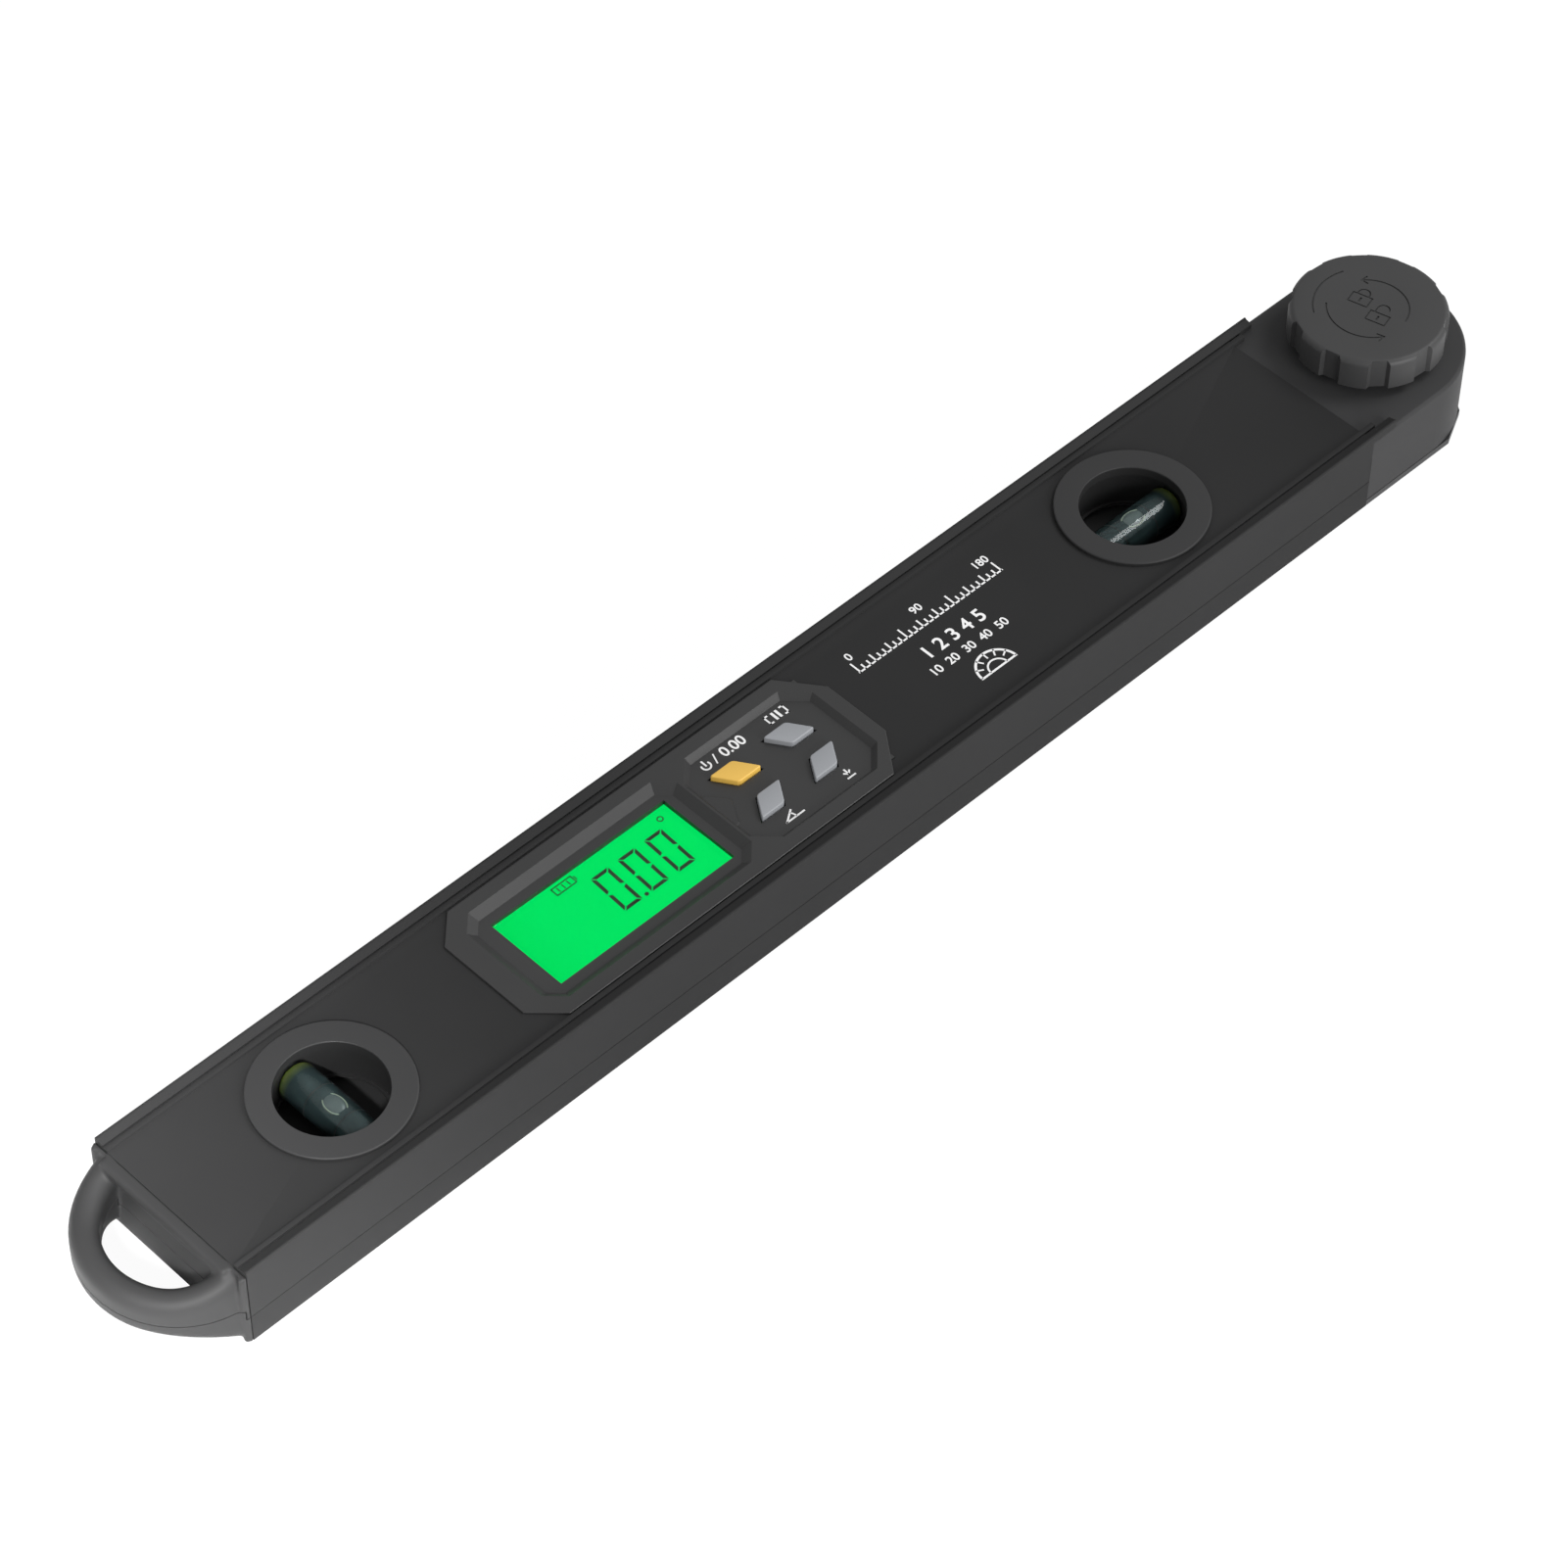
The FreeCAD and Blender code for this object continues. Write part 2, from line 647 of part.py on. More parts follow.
def make_pivot_housing():
    """Full-height round-ended block on the main leg's end, cut back to the pivot circle where
    the second leg sweeps past, with a plug in the leg and a cavity for the angle sensor."""
    body = new_body("PivotHousing")
    barrel = new_sketch(body, "XY_Plane", HOUSING_BASE)
    circle(barrel, PIVOT_RADIUS, PIVOT)
    feature(body, "Pad", barrel, f"{HOUSING_TOP} - {HOUSING_BASE}")
    shoulder = new_sketch(body, "XY_Plane", MAIN_BASE)
    rectangle(shoulder, (LEG_END, PIVOT), (f"-{PIVOT_RADIUS}", PIVOT_RADIUS))
    feature(body, "Pad", shoulder, f"{HOUSING_TOP} - {MAIN_BASE}")
    cheek = new_sketch(body, "XY_Plane", HOUSING_BASE)
    rectangle(cheek, (f"{LEG_END} + end_gap", PIVOT), (f"-{PIVOT_RADIUS}", "0"))
    feature(body, "Pad", cheek, f"{MAIN_BASE} - {HOUSING_BASE}")
    plug = new_sketch(body, "YZ_Plane", f"{LEG_END} - housing_plug")
    rectangle(plug, (f"-{INSIDE} + plug_fit", f"{INSIDE} - plug_fit"),
              (f"{FLOOR} + plug_fit", f"{CEILING} - plug_fit"))
    feature(body, "Pad", plug, "housing_plug")
    eased(body, "Chamfer", "housing_edge", lambda edge: near(edge.BoundBox.ZMin, HOUSING_TOP)
          and near(edge.BoundBox.ZMax, HOUSING_TOP) and edge.BoundBox.XMax > value(f"{LEG_END} + overshoot"))
    cavity = new_sketch(body, "XY_Plane", HOUSING_TOP)
    circle(cavity, "cavity_radius", PIVOT)
    feature(body, "Pocket", cavity, f"{HOUSING_TOP} - bushing_top")
    bore = new_sketch(body, "XY_Plane", HOUSING_TOP)
    circle(bore, "bolt_radius + running_fit + bushing_wall", PIVOT)
    through(body, bore)
    channel = block("RibbonChannel",
                    (f"{LEG_END} - housing_plug - overshoot", f"{PIVOT} - cavity_radius + overshoot"),
                    ("-ribbon_width / 2 - ribbon_fit", "ribbon_width / 2 + ribbon_fit"),
                    (f"{RIBBON_BASE} - ribbon_fit", f"{RIBBON_BASE} + ribbon_thickness + ribbon_fit"))
    seat = disc("WasherSeat", f"{WASHER_RADIUS} + washer_clearance",
                (f"{HOUSING_BASE} - overshoot", f"{HOUSING_BASE} + washer_seat"), PIVOT)
    lug = stop_disc("StopLug", "stop_radius",
                    (f"{HOUSING_BASE} - stop_depth", f"{HOUSING_BASE} + overshoot"), -1)
    hollowed = less("HousingCut", body, channel, seat, *screws["main"][2:])
    finish("pivot_housing", joined("Housing", hollowed, lug))


def stop_disc(name, radius, up, side):
    """Upright pin at one end of the stop's arc."""
    half_turn = math.radians(value("swing_angle") / 2)
    along = f"{PIVOT} + {STOP_CIRCLE} * {math.cos(half_turn):.6f}"
    across = f"{side} * {STOP_CIRCLE} * {math.sin(half_turn):.6f}"
    return disc(name, radius, up, along, across)


def make_stop_groove():
    """Blind arc in the pivot plate that lets the housing's lug travel the whole swing."""
    up = ("plate_thickness - stop_depth", "plate_thickness + overshoot")
    half = "(stop_radius + stop_clearance)"
    turn = FreeCAD.Rotation(FreeCAD.Vector(0, 0, 1), -value("swing_angle") / 2)
    sectors = []
    for name, way in (("GrooveOuter", "+"), ("GrooveInner", "-")):
        sector = disc(name, f"{STOP_CIRCLE} {way} {half}", up, PIVOT)
        sector.setExpression("Angle", bound("swing_angle"))
        sector.Placement.Rotation = turn
        sectors.append(sector)
    ends = [stop_disc(f"GrooveEnd{side + 1}", half, up, side) for side in (-1, 1)]
    return joined("StopGroove", less("GrooveArc", *sectors), *ends)


def make_pivot_plate():
    """Steel plate screwed into the second leg's sole, running on under the pivot housing."""
    body = new_body("PivotPlate")
    sketch = new_sketch(body, "XY_Plane")
    tail_half = "leg_width / 2 - sole_rail - plate_fit"
    far_half = [
        (f"{PIVOT} + plate_third_x * {PIVOT_RADIUS}", f"plate_third_y * {PIVOT_RADIUS}"),
        (f"{PIVOT} + plate_second_x * {PIVOT_RADIUS}", f"plate_second_y * {PIVOT_RADIUS}"),
        (f"{PIVOT} + plate_first_x * {PIVOT_RADIUS}", PIVOT_RADIUS),
        (f"{LEG_END} + plate_fit", PIVOT_RADIUS),
        (f"{LEG_END} + plate_fit", tail_half),
        (f"{LEG_END} - plate_tail", tail_half),
    ]
    polygon(sketch, far_half + [(x, f"-({y})") for x, y in reversed(far_half)])
    feature(body, "Pad", sketch, "plate_thickness")
    hole = new_sketch(body, "XY_Plane", "plate_thickness")
    circle(hole, "bolt_radius", PIVOT)
    through(body, hole)
    seat = disc("BoltSeat", "bolt_head_radius", ("-overshoot", "bolt_head_depth"), PIVOT)
    finish("pivot_plate", less("PlateCut", body, seat, make_stop_groove(), *screws["plate"]))


def make_clamp_bolt():
    """Bolt fixed in the plate: flat head below, plain shank up through the housing to the knob."""
    bolt = new_body("ClampBolt", PIVOT)
    top = f"{PANEL} + knob_top - knob_roof - bolt_shortfall"
    revolved(bolt, [("0", "0"), ("bolt_head_radius", "0"), ("bolt_head_radius", "bolt_head_depth"),
                    ("bolt_radius", "bolt_head_depth"), ("bolt_radius", top), ("0", top)])
    return finish("clamp_bolt", bolt)


def ring(name, outer, inner, up, along=PIVOT):
    """Make a flat ring between two heights."""
    return less(name, disc(name + "_outer", outer, up, along),
                disc(name + "_bore", inner, (f"{up[0]} - overshoot", f"{up[1]} + overshoot"), along))


def make_pivot_inner_parts():
    """Bushing, washers and the two halves of the angle sensor, all round the clamp bolt."""
    shaft = "bolt_radius + running_fit"
    finish("friction_washer", ring("FrictionWasher", WASHER_RADIUS, "washer_bore",
                                   ("plate_thickness", "plate_thickness + washer_thickness")))
    finish("pivot_bushing", ring("PivotBushing", f"{shaft} + bushing_wall", shaft,
                                 (f"{HOUSING_BASE} + washer_seat", "bushing_top")))
    board_top = "bushing_top + board_thickness"
    finish("encoder_board", ring("EncoderBoard", "board_radius", "bolt_radius + sensor_gap",
                                 ("bushing_top", board_top)))
    rotor_base = f"{board_top} + rotor_lift"
    finish("encoder_rotor", ring("EncoderRotor", "rotor_radius", "bolt_radius",
                                 (rotor_base, f"{rotor_base} + rotor_thickness")))
    spigot = disc("CollarSpigot", "cavity_radius", (f"{HOUSING_TOP} - collar_spigot", HOUSING_TOP), PIVOT)
    rim = disc("CollarRim", "collar_radius", (HOUSING_TOP, f"{HOUSING_TOP} + collar_rise"), PIVOT)
    eye = disc("CollarEye", "collar_bore", (f"{HOUSING_TOP} - collar_spigot - overshoot",
                                            f"{HOUSING_TOP} + collar_rise + overshoot"), PIVOT)
    finish("pivot_collar", less("PivotCollar", joined("CollarBlank", spigot, rim), eye))
    finish("thrust_washer", ring("ThrustWasher", "thrust_radius", shaft, (KNOB_BASE, HUB_BASE)))


def make_knob():
    """Cup-shaped clamp knob with grip notches round its rim and a hub that holds the nut."""
    low, hub_low = KNOB_BASE, HUB_BASE
    high = f"({PANEL} + knob_top)"
    roof = f"({high} - knob_roof)"
    body = new_body("Knob", PIVOT)
    nut_top = f"({hub_low} + nut_height)"
    revolved(body, [
        ("0", high), (f"{KNOB_RADIUS} - knob_chamfer", high), (KNOB_RADIUS, f"{high} - knob_chamfer"),
        (KNOB_RADIUS, low), (f"{KNOB_RADIUS} - notch_depth - knob_wall", low),
        (f"{KNOB_RADIUS} - notch_depth - knob_wall", roof), ("knob_hub", roof), ("knob_hub", hub_low),
        ("nut_radius", hub_low), ("nut_radius", nut_top),
        ("bolt_radius + running_fit", nut_top), ("bolt_radius + running_fit", f"{roof} - knob_socket"),
        ("0", f"{roof} - knob_socket"),
    ])
    slot = new_sketch(body, "XY_Plane", f"{high} + overshoot")
    rectangle(slot, (f"{KNOB_RADIUS} - notch_depth", f"{KNOB_RADIUS} + overshoot"),
              ("-notch_width / 2", "notch_width / 2"))
    notch = through(body, slot)
    notches = body.newObject("PartDesign::PolarPattern", "KnobNotches")
    notches.Originals = [notch]
    notches.Axis = (slot, ["N_Axis"])
    notches.Angle = 360.0
    notches.Occurrences = int(value("notch_count"))
    body.Tip = notches
    body.Placement.Rotation = FreeCAD.Rotation(FreeCAD.Vector(0, 0, 1), value("notch_angle"))
    finish("clamp_knob", body)
    nut = new_body("KnobNut", PIVOT)
    revolved(nut, [("bolt_radius + running_fit", hub_low), ("nut_radius", hub_low),
                   ("nut_radius", nut_top), ("bolt_radius + running_fit", nut_top)])
    finish("knob_nut", nut)


def octagon(start, length, width, corner, inset="0", nose=None):
    """Corners of a lengthwise octagon, drawn in by an inset, its far end cut by its own nose."""
    nose_x, nose_y = nose or (corner, corner)
    low, high = f"{start} + {inset}", f"{start} + {length} - {inset}"
    half = f"({width}) / 2 - {inset}"
    slope = f"{CORNER_DRAW:.4f} * {inset}"
    return [
        (low, f"-({half}) + {corner} - {slope}"), (f"{low} + {corner} - {slope}", f"-({half})"),
        (f"{high} - {nose_x} + {slope}", f"-({half})"), (high, f"-({half}) + {nose_y} - {slope}"),
        (high, f"{half} - {nose_y} + {slope}"), (f"{high} - {nose_x} + {slope}", half),
        (f"{low} + {corner} - {slope}", half), (low, f"{half} - {corner} + {slope}"),
    ]


def button_corners(number, grow):
    """Corners of one of the four slanted buttons, counted in pairs along the leg."""
    side = "" if number < 2 else "-"
    middle = f"{BUTTON_START} + {number % 2} * button_pitch"
    half_length = f"(button_length / 2 + {grow})"
    half_width = f"(button_width / 2 + {grow})"
    lean = f"(button_slant / 2 * {half_width} / (button_width / 2))"
    corners = [(f"{middle} - {half_length} - {lean}", half_width),
               (f"{middle} + {half_length} - {lean}", half_width),
               (f"{middle} + {half_length} + {lean}", f"-{half_width}"),
               (f"{middle} - {half_length} + {lean}", f"-{half_width}")]
    return [(x, f"{side}(button_row + ({y}))") for x, y in corners]


def lofted(body, kind, lower, upper):
    """Add or take away the form between two outlines at two heights."""
    sketches = []
    for height, corners in (lower, upper):
        sketches.append(new_sketch(body, "XY_Plane", height))
        polygon(sketches[-1], corners)
    item = body.newObject("PartDesign::" + kind, f"{body.Name}_{kind}")
    item.Profile = sketches[0]
    item.Sections = [sketches[1]]
    item.Ruled = True
    return item


def make_display_bezel():
    """Moulded cover over the display and its buttons: an eight-sided rim that lies on the panel, a
    bevelled dish round the display, a sunk pad round the buttons and a skirt down to the board."""
    body = new_body("DisplayBezel")
    frame = (FRAME_START, FRAME_LENGTH, f"{BEZEL_WIDTH} - 2 * frame_side", "frame_corner")
    pad = (PAD_START, "pad_length", f"{BEZEL_WIDTH} - 2 * pad_side", "pad_corner")
    rim = new_sketch(body, "XY_Plane", PANEL)
    polygon(rim, octagon(BEZEL_START, "bezel_length", BEZEL_WIDTH, "bezel_corner",
                         nose=("bezel_nose_x", "bezel_nose_y")))
    feature(body, "Pad", rim, "bezel_rise")
    inset = "(skirt_inset + bezel_fit)"
    low, high = f"{BEZEL_START} + {inset}", f"{BEZEL_END} - {inset}"
    half = f"(leg_width / 2 - rail_width - {inset})"
    for span, base in (((low, PAD_START), LCD_TOP), ((PAD_START, high), PAD_UNDERSIDE)):
        floor = new_sketch(body, "XY_Plane", base)
        rectangle(floor, span, (f"-{half}", half))
        feature(body, "Pad", floor, f"{PANEL} - {base}")
    skirt = new_sketch(body, "XY_Plane", BOARD_TOP)
    rectangle(skirt, (low, high), (f"-{half}", half))
    rectangle(skirt, (f"{low} + skirt_wall", f"{high} - skirt_wall"),
              (f"-{half} + skirt_wall", f"{half} - skirt_wall"))
    feature(body, "Pad", skirt, f"{PANEL} - {BOARD_TOP}")
    bosses = new_sketch(body, "XY_Plane", BOARD_TOP)
    for along, across in board_corners():
        circle(bosses, "boss_radius", along, across)
    feature(body, "Pad", bosses, f"{PAD_UNDERSIDE} - {BOARD_TOP}")
    for outline, floor, bevel in ((frame, FRAME_FLOOR, "frame_bevel"), (pad, PAD_FLOOR, "pad_bevel")):
        lofted(body, "SubtractiveLoft", (BEZEL_TOP, octagon(*outline)), (floor, octagon(*outline, bevel)))
    holes = new_sketch(body, "XY_Plane", f"{BEZEL_TOP} + overshoot")
    rectangle(holes, (WINDOW_START, WINDOW_END), (f"-{WINDOW_HALF}", WINDOW_HALF))
    for number in range(4):
        polygon(holes, button_corners(number, "button_fit"))
    through(body, holes)
    finish("display_bezel", less("BezelCut", body, *screws["board"]))


def make_display_stack():
    """Window, liquid crystal panel, backlight, edge connectors and board, one on another."""
    span = (f"{WINDOW_START} + window_fit", f"{WINDOW_END} - window_fit")
    half = f"({WINDOW_HALF} - window_fit)"
    wide = (f"{WINDOW_START} - lcd_margin", f"{WINDOW_END} + lcd_margin")
    edge = f"({WINDOW_HALF} + lcd_margin)"
    inset = "(skirt_inset + 2 * bezel_fit)"
    across = f"(leg_width / 2 - rail_width - {inset})"
    finish("display_window", block("DisplayWindow", span, (f"-{half}", half),
                                   (LCD_TOP, f"{LCD_TOP} + lens_thickness")))
    finish("lcd_panel", block("LcdPanel", wide, (f"-{edge}", edge), (LCD_BASE, LCD_TOP)))
    finish("lcd_backlight", block("LcdBacklight", span, (f"-{half}", half), (BOARD_TOP, LCD_BASE)))
    strips = [block(f"Connector{number}", span, (low, f"{low} + connector_width"), (BOARD_TOP, LCD_BASE))
              for number, low in enumerate((WINDOW_HALF, f"-{WINDOW_HALF} - connector_width"))]
    finish("lcd_connectors", grouped("LcdConnectors", *strips))
    board = block("BoardBlank", (f"{BEZEL_START} + {inset}", f"{BEZEL_END} - {inset}"),
                  (f"-{across}", across), (BOARD_BASE, BOARD_TOP))
    finish("circuit_board", less("CircuitBoard", board, *screws["board"]))


def make_buttons():
    """Four push buttons held under the bezel by a flange, each over a small switch."""
    flange_top = f"({PAD_UNDERSIDE} - flange_gap)"
    flange_base = f"({flange_top} - flange_thickness)"
    top = f"({PAD_FLOOR} + button_rise)"
    switches = []
    for number, name in enumerate(("power_button", "hold_button", "mode_button", "memory_button")):
        body = new_body(name.title().replace("_", ""))
        flange = new_sketch(body, "XY_Plane", flange_base)
        polygon(flange, button_corners(number, "button_flange"))
        feature(body, "Pad", flange, "flange_thickness")
        cap = new_sketch(body, "XY_Plane", flange_base)
        polygon(cap, button_corners(number, "0"))
        feature(body, "Pad", cap, f"{top} - {flange_base}")
        eased(body, "Fillet", "button_round", lambda edge: near(edge.BoundBox.ZMin, top))
        finish(name, body)
        side = "" if number < 2 else "-"
        spot = (f"{BUTTON_START} + {number % 2} * button_pitch", f"{side}button_row")
        case = block(f"SwitchCase{number}", (f"{spot[0]} - switch_size / 2", f"{spot[0]} + switch_size / 2"),
                     (f"{spot[1]} - switch_size / 2", f"{spot[1]} + switch_size / 2"),
                     (BOARD_TOP, f"{BOARD_TOP} + switch_case"))
        plunger = disc(f"SwitchPlunger{number}", "plunger_radius",
                       (BOARD_TOP, f"{flange_base} - button_travel - plunger_gap"), *spot)
        switches.append(joined(f"Switch{number}", case, plunger))
    finish("tact_switches", grouped("TactSwitches", *switches))


def make_vial(name, spot, turn):
    """Spirit vial with rounded ends and a stub at each end that the ring's tube holds."""
    vial = doc.addObject("PartDesign::Body", name + "Vial")
    end = [("stub_radius", TUBE), ("stub_radius", VIAL_HALF), ("vial_radius - vial_round", VIAL_HALF),
           ("vial_radius - vial_knee", f"{VIAL_HALF} - vial_shoulder"),
           ("vial_radius", f"{VIAL_HALF} - vial_round")]
    outline = [(radius, f"-({height})") for radius, height in end] + end[::-1]
    revolved(vial, [("0", f"-{TUBE}")] + outline + [("0", TUBE)])
    vial.Placement.Rotation = turn
    return place(vial, spot, "0", f"({FLOOR} + {CEILING}) / 2 - vial_drop")


def make_vial_window(name, spot, turn):
    """Flanged ring with a tube down through the leg, the vial across it and the sole's lower ring."""
    vial = make_vial(name, spot, turn)
    top = f"({PANEL} + ring_rise)"
    body = new_body(name + "Ring", spot)
    revolved(body, [(TUBE_BORE, FLOOR), (TUBE, FLOOR), (TUBE, PANEL), (RING_RADIUS, PANEL),
                    (RING_RADIUS, f"{top} - ring_bevel"), (f"{RING_RADIUS} - ring_bevel", top),
                    (f"{RING_BORE} + ring_bevel", top), (RING_BORE, f"{top} - ring_bevel"),
                    (RING_BORE, f"{top} - ring_neck"), (TUBE_BORE, f"{top} - ring_neck")])
    finish(name.lower() + "_vial", vial)
    finish(name.lower() + "_vial_ring", less(name + "RingCut", body, vial))
    finish(name.lower() + "_vial_base", ring(name + "Base", BASE_RADIUS, BASE_BORE,
                                             (MAIN_BASE, FLOOR), spot))


def lying(kind, name, length, along, across, up):
    """Make a cylinder or cone that lies along the leg."""
    item = doc.addObject("Part::" + kind, name)
    item.setExpression("Height", bound(length))
    place(item, along, across, up)
    item.Placement.Rotation = FreeCAD.Rotation(FreeCAD.Vector(0, 1, 0), 90)
    return item


def make_battery_tray(roof, leads):
    """Tray over the sole's opening, with a boss at one end for the cover's screw."""
    shell = block("TrayShell", (f"{BAY_START} - bay_wall", f"{BAY_END} + bay_wall"),
                  ("-bay_width / 2 - bay_wall", "bay_width / 2 + bay_wall"), (FLOOR, f"{roof} + bay_wall"))
    boss = block("TrayBoss", (BAY_END, f"{BAY_END} + cover_tab + bay_wall"),
                 ("-cover_tab / 2", "cover_tab / 2"), (FLOOR, f"{FLOOR} + long_screw"))
    hollow = block("TrayHollow", (BAY_START, BAY_END), ("-bay_width / 2", "bay_width / 2"),
                   (f"{FLOOR} - overshoot", roof))
    blank = less("TrayBlank", joined("TrayWhole", shell, boss), hollow)
    finish("battery_tray", less("BatteryTray", blank, *screws["cover"], *leads))


def make_battery_bay():
    """Tray inside the leg, two cells, their contacts and leads, and a cover let into the sole."""
    roof = f"({FLOOR} + 2 * battery_radius + 2 * bay_fit)"
    cell_start = f"({BAY_START} + contact_thickness + bay_fit)"
    spring_start = f"({cell_start} + battery_length + bay_fit)"
    lead_start = f"({BEZEL_END} - skirt_inset - lead_overlap)"
    axis_up = f"({FLOOR} + bay_fit + battery_radius)"
    cells, contacts, leads = [], [], []
    for number, side in enumerate(("-battery_pitch / 2", "battery_pitch / 2")):
        cell = lying("Cylinder", f"Cell{number}", "battery_length", cell_start, side, axis_up)
        cell.setExpression("Radius", bound("battery_radius"))
        cells.append(cell)
        plates = [block(f"Contact{number}{end}", (low, f"{low} + contact_thickness"),
                        (f"{side} - contact_width / 2", f"{side} + contact_width / 2"),
                        (f"{axis_up} - contact_height / 2", f"{axis_up} + contact_height / 2"))
                  for end, low in enumerate((BAY_START, f"{BAY_END} - contact_thickness"))]
        spring = lying("Cone", f"Spring{number}", f"{BAY_END} - contact_thickness - {spring_start}",
                       spring_start, side, axis_up)
        spring.setExpression("Radius1", bound("spring_tip"))
        spring.setExpression("Radius2", bound("spring_root"))
        contacts += [plates[0], joined(f"SpringContact{number}", plates[1], spring)]
        lead = lying("Cylinder", f"Lead{number}", f"{BAY_START} - {lead_start}", lead_start, side,
                     f"{BOARD_BASE} - lead_radius")
        lead.setExpression("Radius", bound("lead_radius"))
        leads.append(lead)
    make_battery_tray(roof, leads)
    cover = block("CoverBlank", (BAY_START, f"{BAY_END} + cover_tab"), ("-bay_width / 2", "bay_width / 2"),
                  (MAIN_BASE, FLOOR))
    finish("battery_cover", less("BatteryCover", cover, *screws["cover"]))
    finish("batteries", grouped("Batteries", *cells))
    finish("battery_contacts", grouped("BatteryContacts", *contacts))
    finish("battery_leads", grouped("BatteryLeads", *leads))


def make_ribbon():
    """Flat cable folded from the display board to the side wall, along it past the level vial and
    back to the middle, then through the pivot housing to the angle sensor's board."""
    wall_in = f"({INSIDE} - ribbon_slack - ribbon_thickness)"
    wall_out = f"({INSIDE} - ribbon_slack)"
    middle = ("-ribbon_width / 2", "ribbon_width / 2")
    socket_base = f"({BOARD_BASE} - socket_depth)"
    board_end = f"({BEZEL_END} - skirt_inset - ribbon_turn)"
    turn_end = f"({LEG_END} - housing_plug - ribbon_fit)"
    board_edge = "(leg_width / 2 - rail_width - skirt_inset - boss_inset_y)"
    fold_top = f"({socket_base} + ribbon_thickness)"
    low = RIBBON_BASE
    socket_out = f"({board_edge} - socket_edge)"
    socket_in = f"({socket_out} - socket_width)"
    outward = block("RibbonOut", (f"{board_end} - ribbon_width", board_end), (socket_in, wall_out),
                    (socket_base, fold_top))
    socket = block("RibbonSocket", (f"{board_end} - ribbon_width", board_end), (socket_in, socket_out),
                   (socket_base, BOARD_BASE))
    beside = block("RibbonBeside", (f"{board_end} - ribbon_width", turn_end), (wall_in, wall_out),
                   (f"{fold_top} - ribbon_width", fold_top))
    inward = block("RibbonIn", (f"{turn_end} - ribbon_width", turn_end), ("-ribbon_width / 2", wall_out),
                   (low, f"{low} + ribbon_thickness"))
    home = block("RibbonHome", (f"{turn_end} - ribbon_width", f"{PIVOT} - board_radius + ribbon_landing"),
                 middle, (low, f"{low} + ribbon_thickness"))
    finish("ribbon_cable", joined("Ribbon", outward, socket, beside, inward, home))


def check_document():
    """Stop if any object failed or any finished sub-part is not a sound shape."""
    for item in doc.Objects:
        if "Invalid" in item.State or "Error" in item.State:
            raise RuntimeError(f"{item.Name} failed: {item.State}")
    for item in finished:
        if item.Shape.isNull() or not item.Shape.isValid():
            raise RuntimeError(f"{item.Label} has no sound shape")


make_screws()
make_main_leg()
make_second_leg()
make_end_caps()
make_pivot_housing()
make_pivot_plate()
make_clamp_bolt()
make_pivot_inner_parts()
make_knob()
make_display_bezel()
make_display_stack()
make_buttons()
make_vial_window("Plumb", PLUMB, FreeCAD.Rotation(FreeCAD.Vector(1, 0, 0), 90))
make_vial_window("Level", LEVEL, FreeCAD.Rotation(FreeCAD.Vector(0, 1, 0), 90))
make_battery_bay()
make_ribbon()
doc.recompute()
check_document()

os.makedirs("parts", exist_ok=True)
for item in finished:
    item.Shape.exportStep(os.path.join("parts", item.Label + ".step"))
    print(f"{item.Label}: {len(item.Shape.Solids)} solid(s), {item.Shape.Volume / 1000:.2f} cm3")
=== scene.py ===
# %% [markdown]
# # A digital angle finder with two folding arms
# The tool lies folded, with its display up.  Two black extrusions are stacked one on the other: the upper one
# carries the display, the vials and the pivot's housing, and the lower one swings out from under it.  The
# frame brings the construction in, and each step below gives one piece its finished form and surface.

import json
import math

import bmesh
import bpy
from mathutils import Euler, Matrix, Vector

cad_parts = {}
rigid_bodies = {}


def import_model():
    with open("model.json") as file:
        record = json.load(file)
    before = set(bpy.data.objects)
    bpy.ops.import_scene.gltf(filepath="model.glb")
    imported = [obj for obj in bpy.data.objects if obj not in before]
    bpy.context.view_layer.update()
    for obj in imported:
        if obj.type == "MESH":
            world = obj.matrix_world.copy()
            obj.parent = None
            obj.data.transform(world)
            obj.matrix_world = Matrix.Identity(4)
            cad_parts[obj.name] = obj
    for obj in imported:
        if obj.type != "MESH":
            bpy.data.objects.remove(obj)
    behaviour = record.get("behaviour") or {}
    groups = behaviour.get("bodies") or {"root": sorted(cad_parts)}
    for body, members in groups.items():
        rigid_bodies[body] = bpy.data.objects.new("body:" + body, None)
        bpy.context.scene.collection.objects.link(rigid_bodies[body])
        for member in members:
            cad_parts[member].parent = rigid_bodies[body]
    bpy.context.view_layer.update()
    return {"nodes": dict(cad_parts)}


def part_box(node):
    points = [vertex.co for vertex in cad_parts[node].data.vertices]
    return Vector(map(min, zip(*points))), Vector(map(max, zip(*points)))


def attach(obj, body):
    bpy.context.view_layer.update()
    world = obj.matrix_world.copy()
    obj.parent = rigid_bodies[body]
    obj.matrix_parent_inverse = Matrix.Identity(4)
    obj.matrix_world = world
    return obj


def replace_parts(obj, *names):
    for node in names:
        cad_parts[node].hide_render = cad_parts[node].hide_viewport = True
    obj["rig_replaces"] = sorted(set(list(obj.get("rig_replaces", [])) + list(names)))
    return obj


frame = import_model()

# %% [markdown]
# ## Places and a few helpers
# Lengths are easier to read in millimetres, so the helpers take millimetres and turn them into metres.  The
# places of the big pieces are read from the frame, so the finished pieces stay where the construction is.

# %% Read the main places from the frame
MM = 0.001
AXIS = 0.001  # a profile's corners on the axis start this far out, and are merged once it is spun


def reach(node):
    """Lowest and highest corner of a node of the frame, in millimetres."""
    low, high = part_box(node)
    return low / MM, high / MM


def middle_x(node):
    """Where the middle of a node lies along the tool."""
    low, high = reach(node)
    return (low.x + high.x) / 2


